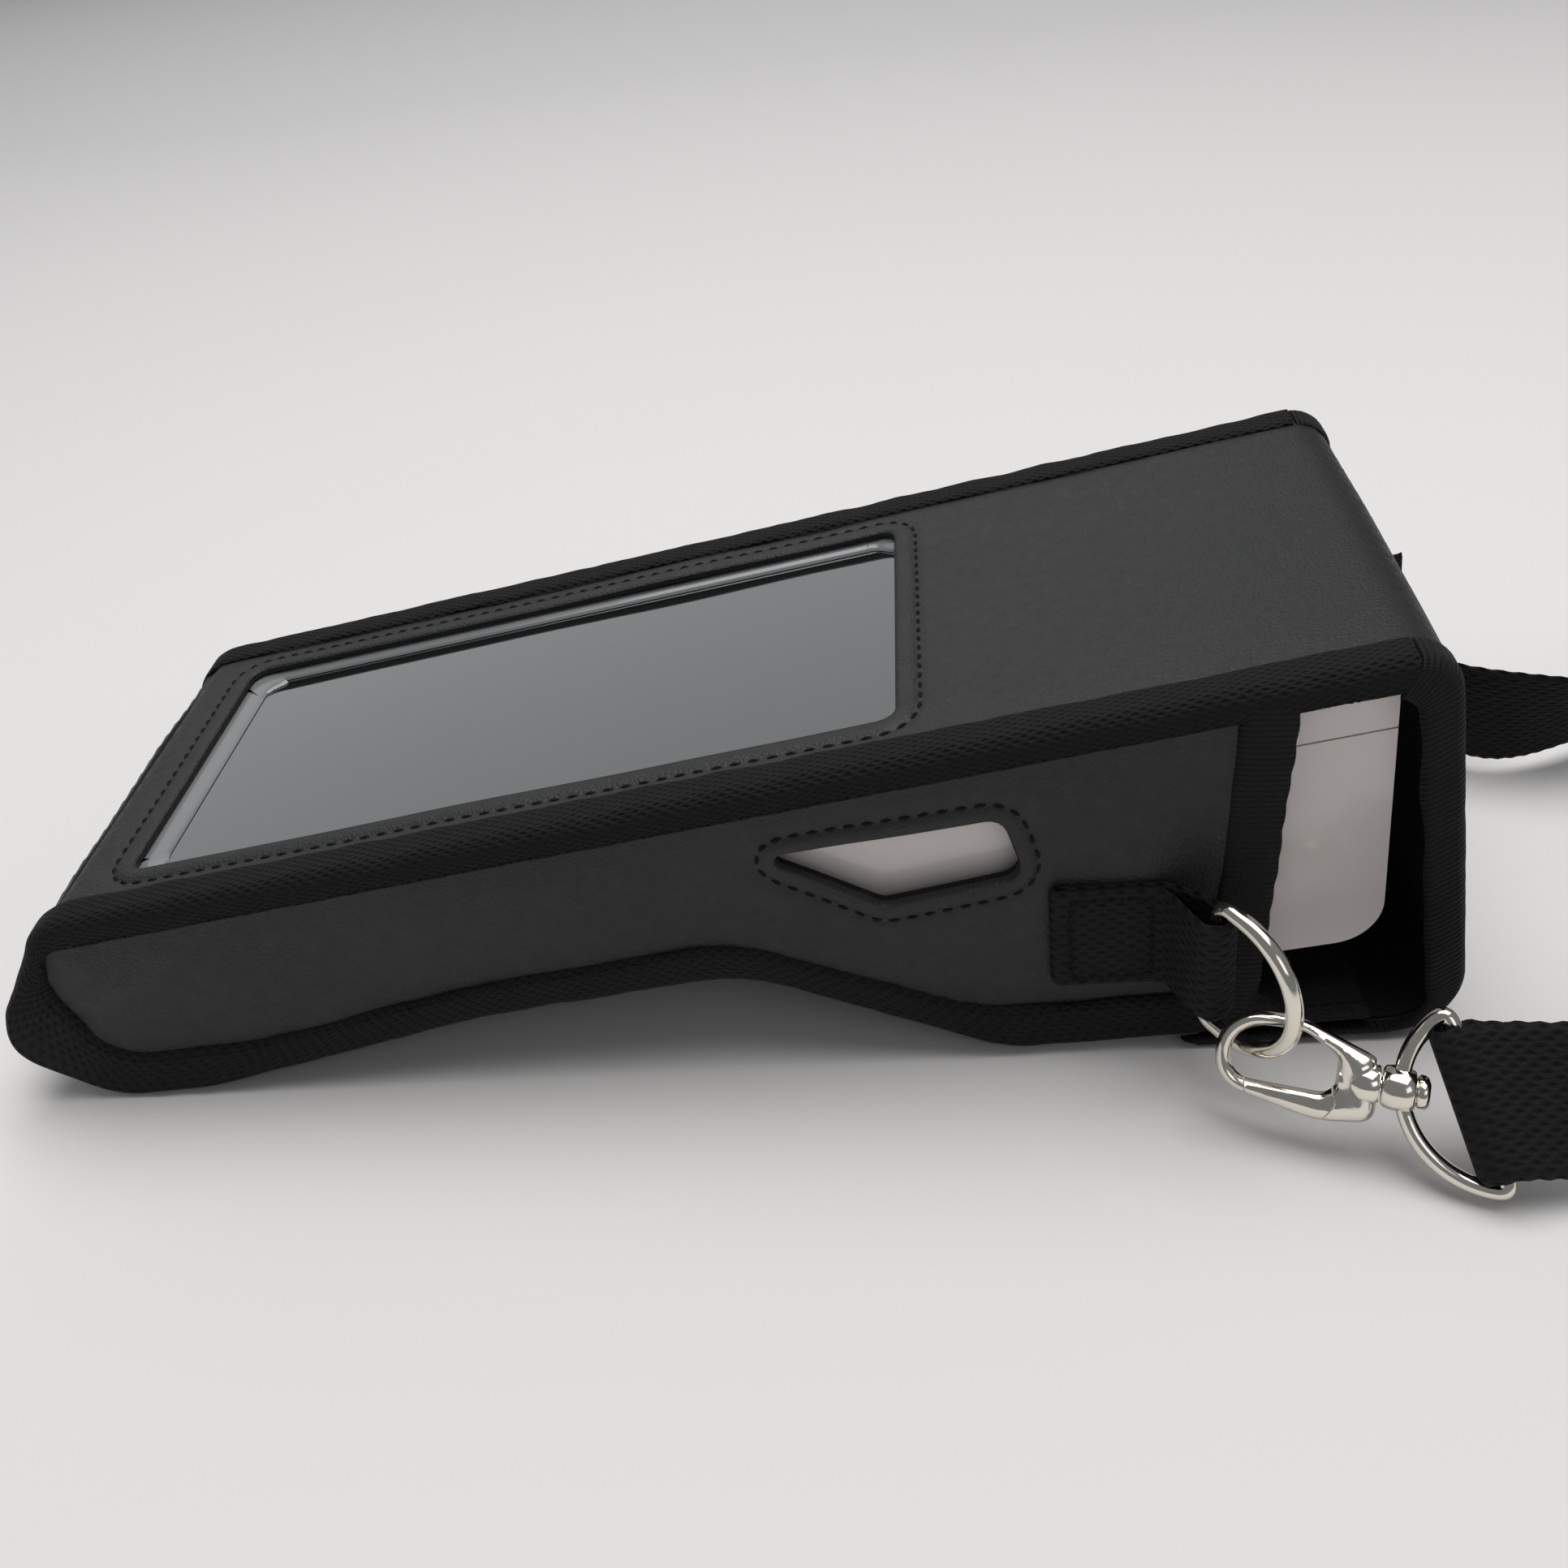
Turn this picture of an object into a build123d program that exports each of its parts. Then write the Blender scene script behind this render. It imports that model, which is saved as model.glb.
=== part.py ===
"""Leather carry case for a handheld terminal, with its D-rings, snap hooks and strap.

Millimetres. The case lies on its back: +X runs along its length towards the flap end, the near side
faces -Y and Z = 0 is the surface it lies on. The case is drawn in its own frame first (x along the
front panel, y across, z out of the front panel, which lies at z = 0) and is then tilted onto its back.
"""

from build123d import *
import math
import os

# How the case lies
TILT = 8.63           # the bulge at the flap end lifts the front panel by this angle, degrees
LIFT = 39.2           # height of the case frame's origin above the floor
SHIFT = 101.54        # from the case frame's origin to the middle of the footprint

# Body of the case
WIDTH = 92.0          # across the leather, without bindings
LEATHER = 1.2
LINING = 1.2
WALL = LEATHER + LINING
FRONT_END = 212.0     # where the front panel stops and the flap begins
BACK_END = 200.0      # where the back panel stops, inside the flap
BODY_OUTLINE = [(-8.5, 0), (-24, -19), (-13, -37.5), (6, -38.6), (58, -33.6), (104, -34.2), (143, -59.5),
                (230, -68.5), (230, 0)]
BODY_RADII = [9, 9, 12, 25, 60, 30, 22, 0.5, 0.5]
FOLD_X = -9.0         # the end panel starts here, at both of its folds
MID_Z = -12.0         # a level between the front and the back panel

# Openings in the leather
WINDOW = (4.0, 137.3, 66.4)            # first x, last x, width
WINDOW_RADIUS = 3.0
CUTOUT = [(112.6, -12.4), (150.5, -13.6), (152, -24.9), (129.5, -25.7)]
CUTOUT_RADII = [1.2, 3, 3, 3]
MOUTH_X = 195.0       # the side panels stop along a line that leans from here
MOUTH_LEAN = 0.207

# Woven binding
TAPE = 0.7            # how far it stands off the leather
SIDE_TAPE = 1.2
TAPE_ON_FACE = 6.5    # its width on the front and the back
SEAM_OUTLINE = [(-9, -4.6), (-12, -12), (-8.5, -28.8), (16, -30.8), (60, -27.4), (104, -27.4),
                (141, -50.5), (230, -60), (230, -4.6)]
SEAM_RADII = [4, 8, 9, 30, 60, 30, 22, 0.5, 0.5]
MOUTH_TAPE = 7.8

# Flap: hinged on the fold between the front and its end panel, hooked under the back
FLAP_START = FRONT_END + 0.3
FLAP_TIP = 174.0
FLAP_LINING = 0.6
FLAP_TAPE = 0.5
FLAP_OUTLINE = [(120, 0), (217.8, 0), (215.2, -70.5), (120, -58.9)]
FLAP_RADII = [0.5, 6, 11, 0.5]
FLAP_INNER = [(110, -5.5), (211.6, -5.5), (209.6, -68.2), (110, -56.1)]
FLAP_INNER_RADII = [0.5, 3, 6, 0.5]

# Hook-and-loop pads under the back
PAD = (177.0, 192.0, 50.0)             # first x, last x, width
LOOP_PAD = 0.5
HOOK_PAD = 0.4

# Terminal inside the case
TERMINAL_WIDTH = 84.0
TERMINAL_TOP = -2.8
TERMINAL_OUTLINE = [(-4, TERMINAL_TOP), (-17, -18.5), (-9, -31), (105, -29.5), (139, -51), (204.5, -52.5),
                    (210.6, TERMINAL_TOP)]
TERMINAL_RADII = [3, 5, 6, 26, 20, 8, 5]
PARTING_Z = -13.0
PARTING_GAP = 0.3
GLASS = (0.5, 143.0, 78.0, 1.1)       # first x, last x, width, thickness
ROLL_COVER = (150.0, 196.0, 62.0, 1.4)  # first x, last x, width, depth of its recess

# Ring tab, D-ring, snap hook and bail, near side, in the finished part's frame
TAB_START = 56.8
TAB_END = 74.7
TAB_WEB = 2.4
TAB_LOW, TAB_HIGH = 16.4, 35.4
RING_BAR = (79.5, -54.9, 26.0)
RING_YAW, RING_DROOP = -53.6, 7.1
RING_HALF, RING_LEG, RING_WIRE = 11.9, 4.6, 1.35
LOOP_SLACK = 3.4      # how far the bar can slide in the tab's loop
LOOP_HOLE = 1.75
LOOP_WALL = 1.2
SWIVEL = (104.2, -71.0, 13.6)
HOOK_YAW, HOOK_LEAN = -18.3, 24.1
EYE_X, EYE_OUTER, EYE_INNER = -18.8, 7.9, 5.9
HOOK_THICK = 2.2
NECK = 2.8
NECK_X = (-7.6, -3.3)   # along the swivel axis
EYE_END = 2.4         # half height of the eye where the post's head sits
GATE_PIVOT = (-9.6, -4.4)
GATE_THICK = 1.1
GATE_GAP = 0.4
PIN_WIRE = 0.6
POST_WIRE = 1.2
FIT = 0.05            # radial clearance of a pin in its hole
BAIL = (114.55, -74.7, 13.93)
BAIL_OUT = Vector(0.927, -0.091, 0.364)
BAIL_UP = Vector(-0.251, 0.572, 0.781)
BAIL_HALF, BAIL_DEPTH, BAIL_WIRE = 14.6, 10.3, 1.25

# Shoulder strap
WEB = 23.0
WEB_THICK = 1.6
STRAP_LOW = 0.3
END_TAIL = 11.0
END_HOLE = 1.65
NEAR_ROUTE = [(122.5, -75.5), (140, -75), (157, -71), (170, -60), (177, -46), (184, -35)]
FAR_ROUTE = [(184, 35), (174, 45), (166, 60), (152, 70), (137, 75), (122.5, 75.5)]
HANK_X = (184.0, 306.0)
HANK_WIDTH = 76.0
TIE = (238.0, 10.0, 0.8)               # its x, width and thickness

os.makedirs("parts", exist_ok=True)


def unit_frame(origin, out, up):
    """A plane whose x runs out, whose y runs up and whose normal is across."""
    return Plane(origin=origin, x_dir=out, z_dir=out.cross(up))


def outline(points, radii):
    """A closed face through points, with one fillet radius for each."""
    return make_face(FilletPolyline(*points, radius=radii, close=True))


def prism(sketch, low, high):
    """A side-view sketch, drawn with its y up, extruded across the case from low to high."""
    return Pos(0, high, 0) * Rot(90, 0, 0) * extrude(sketch, amount=high - low)


def block(x, y, z):
    """A box between two x, two y and two z values."""
    size = [high - low for low, high in (x, y, z)]
    middle = [(high + low) / 2 for low, high in (x, y, z)]
    return Pos(*middle) * Box(*size)


def place(shape):
    """Tilt a shape from the case's frame onto its back."""
    return Pos(-SHIFT, 0, LIFT) * Rot(0, -TILT, 0) * shape


def far(shape):
    """The same piece on the far side."""
    return mirror(shape, about=Plane.XZ)


def save(shape, name):
    shape.label = name
    export_step(shape, f"parts/{name}.step")


def both_sides(shape, name):
    save(shape, f"{name}_near")
    save(far(shape), f"{name}_far")


# ---- case body ----

HALF = WIDTH / 2
body = outline(BODY_OUTLINE, BODY_RADII)
body_lining = offset(body, amount=-LEATHER)
body_inside = offset(body, amount=-WALL)
leather_band = prism(body - body_lining, -HALF, HALF)
lining_band = prism(body_lining - body_inside, -HALF, HALF)
FRONT_ZONE = block((FOLD_X, FRONT_END), (-60, 60), (MID_Z, 10))
END_ZONE = block((-60, FOLD_X), (-60, 60), (-60, 10))
BACK_ZONE = block((FOLD_X, BACK_END), (-60, 60), (-90, MID_Z))


def window_cut():
    first, last, width = WINDOW
    shape = RectangleRounded(last - first, width, WINDOW_RADIUS)
    return Pos((first + last) / 2, 0, -20) * extrude(shape, amount=30)


def side_panel(low, high):
    """A layer of the near side panel, between two y values."""
    mouth = make_face(Polyline((-60, 10), (MOUTH_X - MOUTH_LEAN * -10, 10),
                               (MOUTH_X - MOUTH_LEAN * 80, -80), (-60, -80), close=True))
    return prism((body_inside & mouth) - outline(CUTOUT, CUTOUT_RADII), low, high)


def edge_binding():
    """Tape folded over the near edge of the front, end and back panels."""
    seam = outline(SEAM_OUTLINE, SEAM_RADII)
    tape = prism(offset(body, amount=TAPE), -HALF - SIDE_TAPE, -HALF + TAPE_ON_FACE)
    tape -= prism(body, -HALF, HALF)
    tape -= prism(seam, -HALF - 5, -HALF)
    front = tape & block((FOLD_X, FRONT_END), (-60, 0), (MID_Z, 10))
    end = tape & block((-60, FOLD_X), (-60, 0), (-60, 10))
    back = tape & block((FOLD_X, BACK_END), (-60, 0), (-90, MID_Z))
    return front + end + back


def mouth_binding(panel, lining):
    """Tape round the free end of the near side panel."""
    def edge(z, inset):
        return (MOUTH_X + MOUTH_LEAN * z - inset, z)
    strip = make_face(Polyline(edge(0, MOUTH_TAPE), edge(0, -0.9), edge(-75, -0.9), edge(-75, MOUTH_TAPE),
                               close=True))
    seam = outline(SEAM_OUTLINE, SEAM_RADII)
    tape = prism(strip & seam, -HALF - 0.9, -HALF) + prism(strip & body_inside, -HALF, -HALF + WALL + 0.6)
    return tape - panel - lining


def back_tape():
    """Tape over the back panel's free edge, across the mouth."""
    tape = prism(offset(body, amount=0.6) - offset(body, amount=-WALL - 0.6), -HALF + 10, HALF - 10)
    tape &= block((BACK_END - 6, BACK_END + 0.8), (-60, 60), (-90, MID_Z))
    return tape - (prism(body - body_inside, -HALF, HALF) & BACK_ZONE)


def pad(outer, inner):
    """A pad between two offset outlines of the same shape, under the back."""
    first, last, width = PAD
    return prism(outer - inner, -width / 2, width / 2) & block((first, last), (-60, 60), (-90, MID_Z))


front_panel = (leather_band & FRONT_ZONE) - window_cut()
front_lining = (lining_band & FRONT_ZONE) - window_cut()
save(place(front_panel), "front_panel")
save(place(front_lining), "front_lining")
save(place(leather_band & END_ZONE), "end_panel")
save(place(lining_band & END_ZONE), "end_lining")
save(place(leather_band & BACK_ZONE), "back_panel")
save(place(lining_band & BACK_ZONE), "back_lining")
near_panel = side_panel(-HALF, -HALF + LEATHER)
near_lining = side_panel(-HALF + LEATHER, -HALF + WALL)
both_sides(place(near_panel), "side_panel")
both_sides(place(near_lining), "side_lining")
both_sides(place(edge_binding()), "edge_binding")
both_sides(place(mouth_binding(near_panel, near_lining)), "mouth_binding")
save(place(back_tape()), "back_edge_binding")
save(place(pad(offset(body, amount=LOOP_PAD), body)), "loop_pad")

# ---- flap ----

flap = outline(FLAP_OUTLINE, FLAP_RADII)
flap_lining = offset(flap, amount=-LEATHER)
flap_inside = offset(flap, amount=-LEATHER - FLAP_LINING)
FLAP_ZONES = [block((FLAP_START, 230), (-60, 60), (-90, 10)),
              block((FLAP_TIP, FLAP_START), (-60, 60), (-90, -30))]


def flap_part(shape):
    return shape & (FLAP_ZONES[0] + FLAP_ZONES[1])


def flap_binding():
    """Tape along the near edge of the flap, from the fold to its tip."""
    tape = prism(offset(flap, amount=FLAP_TAPE), -HALF - SIDE_TAPE, -HALF + TAPE_ON_FACE)
    tape -= prism(flap, -HALF, HALF)
    tape -= prism(outline(FLAP_INNER, FLAP_INNER_RADII), -HALF - 5, -HALF)
    return flap_part(tape)


def flap_tip_tape():
    """Tape over the flap's tip, between its side bindings."""
    half = HALF - TAPE_ON_FACE
    tape = prism(offset(flap, amount=FLAP_TAPE) - flap, -half, half)
    tape &= block((FLAP_TIP, FLAP_TIP + 6.5), (-60, 60), (-90, -30))
    end = prism(offset(flap, amount=FLAP_TAPE) - flap_inside, -half, half)
    return tape + (end & block((FLAP_TIP - 0.9, FLAP_TIP), (-60, 60), (-90, -30)))


save(place(flap_part(prism(flap - flap_lining, -HALF, HALF))), "flap_leather")
save(place(flap_part(prism(flap_lining - flap_inside, -HALF, HALF))), "flap_lining")
both_sides(place(flap_binding()), "flap_binding")
save(place(flap_tip_tape()), "flap_tip_binding")
save(place(pad(flap_inside, offset(flap_inside, amount=-HOOK_PAD))), "hook_pad")

# ---- terminal ----

terminal = prism(outline(TERMINAL_OUTLINE, TERMINAL_RADII), -TERMINAL_WIDTH / 2, TERMINAL_WIDTH / 2)


def recess(first, last, width, depth, top=TERMINAL_TOP):
    shape = RectangleRounded(last - first, width, 4)
    return Pos((first + last) / 2, 0, top - depth) * extrude(shape, amount=depth)


glass = recess(*GLASS)
display = recess(8, 133, 62, 1.6, TERMINAL_TOP - GLASS[3])
roll_cover = recess(*ROLL_COVER)
upper = terminal & block((-60, 260), (-60, 60), (PARTING_Z, 0))
lower = terminal & block((-60, 260), (-60, 60), (-90, PARTING_Z - PARTING_GAP))
save(place(upper - glass - display - roll_cover), "terminal_front_housing")
save(place(lower), "terminal_rear_housing")
seal = Pos(96, 0, PARTING_Z - PARTING_GAP / 2) * Box(212, TERMINAL_WIDTH - 4, PARTING_GAP)
save(place(seal), "terminal_seal")
save(place(glass), "terminal_glass")
save(place(display), "terminal_display")
save(place(roll_cover), "terminal_roll_cover")

# ---- ring tab and D-ring ----


def ring_tab():
    """Webbing sewn to the side and folded round the ring's bar."""
    bar_x, bar_y, _ = RING_BAR
    start = Vector(TAB_END, -HALF - TAB_WEB / 2)
    bar = Vector(bar_x, bar_y)
    angle = math.degrees(math.atan2(bar.Y - start.Y, bar.X - start.X))
    reach = (bar - start).length
    flat = Pos((TAB_START + TAB_END) / 2, start.Y) * Rectangle(TAB_END - TAB_START, TAB_WEB)
    bridge = Pos(reach / 2 - 1.5, 0) * Rectangle(reach - 3, TAB_WEB)
    link = Pos(start.X, start.Y) * Rot(0, 0, angle) * bridge
    corner = Pos(start.X, start.Y) * Circle(TAB_WEB / 2)
    turn = Pos(bar.X, bar.Y) * Rot(0, 0, angle)
    loop = turn * SlotCenterToCenter(LOOP_SLACK, 2 * (LOOP_HOLE + LOOP_WALL))
    hole = turn * SlotCenterToCenter(LOOP_SLACK, 2 * LOOP_HOLE)
    section = flat + corner + link + loop - hole
    return Pos(0, 0, TAB_LOW) * extrude(section, amount=TAB_HIGH - TAB_LOW)


def wire_loop(plane, path, wire):
    """A closed loop of round wire along path, given in plane's own x and y."""
    return plane * sweep(Plane(path @ 0, z_dir=path % 0) * Circle(wire), path=path)


def ring_frame():
    yaw, droop = math.radians(RING_YAW), math.radians(RING_DROOP)
    out = Vector(math.cos(droop) * math.cos(yaw), math.cos(droop) * math.sin(yaw), -math.sin(droop))
    up = Vector(math.sin(droop) * math.cos(yaw), math.sin(droop) * math.sin(yaw), math.cos(droop))
    return unit_frame(RING_BAR, out, up)


def d_ring():
    """A bar along y, two short legs and a half circle."""
    high, leg, round_off = RING_HALF, RING_LEG, 2.5
    bar = Line((0, -high + round_off), (0, high - round_off))
    top_corner = RadiusArc((0, high - round_off), (round_off, high), round_off)
    top_leg = Line((round_off, high), (leg, high))
    arc = ThreePointArc((leg, high), (leg + high, 0), (leg, -high))
    low_leg = Line((leg, -high), (round_off, -high))
    low_corner = RadiusArc((round_off, -high), (0, -high + round_off), round_off)
    path = Wire([*(edge.edge() for edge in (bar, top_corner, top_leg, arc, low_leg, low_corner))])
    return wire_loop(ring_frame(), path, RING_WIRE)


both_sides(ring_tab(), "ring_tab")
both_sides(d_ring(), "d_ring")

# ---- snap hook ----


def hook_frame():
    yaw, lean = math.radians(HOOK_YAW), math.radians(HOOK_LEAN)
    out = Vector(math.cos(yaw), math.sin(yaw), 0)
    up = Vector(-math.sin(yaw) * math.sin(lean), math.cos(yaw) * math.sin(lean), math.cos(lean))
    return unit_frame(SWIVEL, out, up)


def hook_outline():
    solid = hull(EYE_OUTER, NECK, NECK_X[1] - NECK)
    opening = hull(EYE_INNER, EYE_END, NECK_X[0] - 3.4)
    opening += Pos(NECK_X[0] - 2, 0) * Rectangle(4, 2 * EYE_END)
    return solid - opening


def hull(eye, small, x):
    """The outline round a circle at the eye's centre and a smaller one at x."""
    circles = (Pos(EYE_X, 0) * Circle(eye)).edges() + (Pos(x, 0) * Circle(small)).edges()
    return make_hull(circles)


def gate_zone(grow):
    """The part of the hook's lower arm that the gate fills."""
    corners = [(-24.0 - grow, -1.6 * EYE_OUTER), (-23.0 - grow, -2.4), (-16, -2.4 + grow),
               (GATE_PIVOT[0] + 1.4 + grow, -3.0 + grow), (GATE_PIVOT[0] + 1.4 + grow, -1.6 * EYE_OUTER)]
    return make_face(Polyline(*corners, close=True))


def slab(sketch, thick):
    return extrude(sketch, amount=thick / 2, both=True)


def hook_body():
    frame = hook_frame()
    arms = slab(hook_outline() - gate_zone(GATE_GAP), HOOK_THICK)
    cheek = hook_outline() & (Pos(*GATE_PIVOT) * Circle(2.6))
    cheeks = slab(cheek, HOOK_THICK) - slab(cheek, GATE_THICK + 2 * GATE_GAP)
    middle = sum(NECK_X) / 2
    neck = Pos(middle, 0, 0) * Rot(0, 90, 0) * Cylinder(NECK, NECK_X[1] - NECK_X[0])
    bore = Pos(middle, 0, 0) * Rot(0, 90, 0) * Cylinder(POST_WIRE + FIT, 8)
    slot = slab(Pos(*GATE_PIVOT) * Circle(3.6), GATE_THICK + 2 * GATE_GAP)
    pin_hole = Pos(*GATE_PIVOT) * Cylinder(PIN_WIRE, 10)
    return frame * (arms - slot + cheeks + neck - bore - pin_hole)


def hook_gate():
    frame = hook_frame()
    arm = slab(hook_outline() & gate_zone(0), GATE_THICK)
    eye = slab(Pos(*GATE_PIVOT) * Circle(1.7), GATE_THICK)
    return frame * (arm + eye - Pos(*GATE_PIVOT) * Cylinder(PIN_WIRE + FIT, 10))


def gate_pin():
    return hook_frame() * (Pos(*GATE_PIVOT) * Cylinder(PIN_WIRE, HOOK_THICK + 0.4))


def swivel_post():
    """Rivet that holds the hook on the bail: it turns in the hook's neck."""
    along = Rot(0, 90, 0)
    start, end = NECK_X[0] - 0.8, 4.4
    shank = Pos((start + end) / 2, 0, 0) * along * Cylinder(POST_WIRE, end - start)
    inner_head = Pos(start + 0.35, 0, 0) * along * Cylinder(POST_WIRE + 0.8, 0.7)
    head = Pos(end - 0.9, 0, 0) * along * Cylinder(2.2, 1.8)
    return hook_frame() * (shank + inner_head + head)


def bail_frame():
    return unit_frame(BAIL, BAIL_OUT, BAIL_UP)


def strap_bail():
    """D-shaped bail: its bar holds the strap and a collar on its arc holds the swivel post."""
    frame = bail_frame()
    arc = ThreePointArc((0, -BAIL_HALF), (-BAIL_DEPTH, 0), (0, BAIL_HALF))
    bow = sweep(Plane(arc @ 0, z_dir=arc % 0) * Circle(BAIL_WIRE), path=arc)
    bar = Rot(90, 0, 0) * Cylinder(BAIL_WIRE, 2 * BAIL_HALF)
    ends = Pos(0, BAIL_HALF) * Sphere(BAIL_WIRE) + Pos(0, -BAIL_HALF) * Sphere(BAIL_WIRE)
    collar = hook_frame() * (Pos(0.2, 0, 0) * Rot(0, 90, 0) * Cylinder(3.0, 4.8))
    return frame * (bow + bar + ends) + collar - swivel_post()


both_sides(hook_body(), "hook_body")
both_sides(hook_gate(), "hook_gate")
both_sides(gate_pin(), "gate_pin")
both_sides(swivel_post(), "swivel_post")
both_sides(strap_bail(), "strap_bail")

# ---- shoulder strap ----


def strap_end():
    """The strap's near end, folded round the bail's bar and sewn down."""
    loop = Circle(END_HOLE + WEB_THICK)
    tail = Pos(END_TAIL / 2 + 1, 0) * Rectangle(END_TAIL - 2, 2 * WEB_THICK)
    section = loop + tail - Circle(END_HOLE)
    along = (Vector(1, -0.1, 0) - BAIL_UP * Vector(1, -0.1, 0).dot(BAIL_UP)).normalized()
    frame = Plane(origin=BAIL, x_dir=along, z_dir=BAIL_UP)
    return frame * extrude(section, amount=WEB / 2 - 0.1, both=True)


def web_run(points):
    """Webbing standing on edge along a route of straight runs joined by tangent arcs."""
    radii = []
    for before, here, after in zip(points, points[1:], points[2:]):
        first = Vector(*here) - Vector(*before)
        second = Vector(*after) - Vector(*here)
        turn = math.radians(first.get_angle(second))
        radii.append(0.45 * min(first.length, second.length) / math.tan(turn / 2))
    print("strap bend radii", [round(radius) for radius in radii])
    path = FilletPolyline(*points, radius=radii)
    return Pos(0, 0, STRAP_LOW) * extrude(trace(path, line_width=WEB_THICK), amount=WEB)


def hank():
    """The outer shape of the rest of the strap, folded up and tied."""
    first, last = HANK_X
    shape = RectangleRounded(last - first, HANK_WIDTH, 5)
    return Pos((first + last) / 2, 0, STRAP_LOW) * extrude(shape, amount=WEB)


def hank_tie():
    x, width, thick = TIE
    outer = Box(width, HANK_WIDTH + 2 * thick, WEB + thick)
    return Pos(x, 0, STRAP_LOW + (WEB + thick) / 2) * outer - hank()


both_sides(strap_end(), "strap_end")
save(web_run(NEAR_ROUTE), "strap_near_run")
save(web_run(FAR_ROUTE), "strap_far_run")
save(hank(), "strap_hank")
save(hank_tie(), "hank_tie")
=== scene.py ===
"""Looks of the terminal carry case: leather, woven binding, webbing, thread, metal and the terminal inside.

Lengths are in millimetres in the case's own frame (x along the front panel, y across, z out of it) or in the
finished part's frame where a name says so. place() and to_metres() turn them into Blender's metres.
"""

import math

import bmesh
import bpy
import numpy as np
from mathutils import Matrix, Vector, noise
from mathutils.geometry import delaunay_2d_cdt


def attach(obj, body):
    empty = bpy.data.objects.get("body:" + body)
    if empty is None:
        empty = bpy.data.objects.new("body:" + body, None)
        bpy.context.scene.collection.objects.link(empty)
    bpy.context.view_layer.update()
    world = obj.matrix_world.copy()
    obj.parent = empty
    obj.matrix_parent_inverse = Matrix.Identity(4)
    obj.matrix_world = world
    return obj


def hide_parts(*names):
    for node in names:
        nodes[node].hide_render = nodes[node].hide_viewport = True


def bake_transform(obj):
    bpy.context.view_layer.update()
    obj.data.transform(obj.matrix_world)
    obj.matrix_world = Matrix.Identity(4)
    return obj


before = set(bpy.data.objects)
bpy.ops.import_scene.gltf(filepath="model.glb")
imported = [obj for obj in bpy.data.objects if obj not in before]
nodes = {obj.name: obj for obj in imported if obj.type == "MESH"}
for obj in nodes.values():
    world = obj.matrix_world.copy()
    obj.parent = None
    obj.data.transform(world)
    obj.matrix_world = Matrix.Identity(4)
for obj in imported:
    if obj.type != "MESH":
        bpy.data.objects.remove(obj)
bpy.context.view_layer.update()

# ---- dimensions shared with the CAD model ----

TILT, LIFT, SHIFT = 8.63, 39.2, 101.54
HALF = 46.0
LEATHER = 1.2
LINING = 1.2
WALL = LEATHER + LINING
FRONT_END, BACK_END, FOLD_X = 212.0, 200.0, -9.0
BODY_OUTLINE = [(-8.5, 0), (-24, -19), (-13, -37.5), (6, -38.6), (58, -33.6), (104, -34.2), (143, -59.5),
                (230, -68.5), (230, 0)]
BODY_RADII = [9, 9, 12, 25, 60, 30, 22, 0.5, 0.5]
SEAM_OUTLINE = [(-9, -4.6), (-12, -12), (-8.5, -28.8), (16, -30.8), (60, -27.4), (104, -27.4),
                (141, -50.5), (230, -60), (230, -4.6)]
SEAM_RADII = [4, 8, 9, 30, 60, 30, 22, 0.5, 0.5]
WINDOW = (4.0, 137.3, 66.4)
CUTOUT = [(112.6, -12.4), (150.5, -13.6), (152, -24.9), (129.5, -25.7)]
CUTOUT_RADII = [1.2, 3, 3, 3]
MOUTH_X, MOUTH_LEAN, MOUTH_TAPE = 195.0, 0.207, 7.8
TAPE_ON_FACE = 6.5
FLAP_START, FLAP_TIP = 212.3, 174.0
FLAP_OUTLINE = [(120, 0), (217.8, 0), (215.2, -70.5), (120, -58.9)]
FLAP_RADII = [0.5, 6, 11, 0.5]
FLAP_INNER = [(110, -5.5), (211.6, -5.5), (209.6, -68.2), (110, -56.1)]
FLAP_INNER_RADII = [0.5, 3, 6, 0.5]
FLAP_LINING = 0.6
PAD = (177.0, 192.0, 50.0)
SIDES = {"near": 1, "far": -1}

# The shoulder strap, in the finished part's frame
WEB, WEB_THICK, STRAP_LOW = 23.0, 1.6, 0.3
BAIL = (114.55, -74.7, 13.93)
BAIL_UP = (-0.251, 0.572, 0.781)


def place(points):
    """Points from the case's frame, in millimetres, to the finished part's frame, in metres."""
    points = np.asarray(points, float)
    cos, sin = math.cos(math.radians(TILT)), math.sin(math.radians(TILT))
    x = points[:, 0] * cos - points[:, 2] * sin - SHIFT
    z = points[:, 0] * sin + points[:, 2] * cos + LIFT
    return np.stack([x, points[:, 1], z], 1) / 1000


def to_metres(points):
    return np.asarray(points, float) / 1000


# ---- outlines ----


def corner_arc(before, corner, after, radius):
    """Where a fillet starts and ends, and its centre."""
    before, corner, after = (np.array(p, float) for p in (before, corner, after))
    back = (before - corner) / np.linalg.norm(before - corner)
    on = (after - corner) / np.linalg.norm(after - corner)
    half = math.acos(np.clip(back @ on, -1, 1)) / 2
    reach = radius / math.tan(half)
    middle = (back + on) / np.linalg.norm(back + on)
    return corner + back * reach, corner + on * reach, corner + middle * radius / math.sin(half)


def arc_points(start, end, centre, count):
    a, b = start - centre, end - centre
    turn = math.atan2(a[0] * b[1] - a[1] * b[0], a @ b)
    angles = np.linspace(0, turn, count + 1)
    cos, sin = np.cos(angles), np.sin(angles)
    return centre + np.stack([a[0] * cos - a[1] * sin, a[0] * sin + a[1] * cos], 1)


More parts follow.
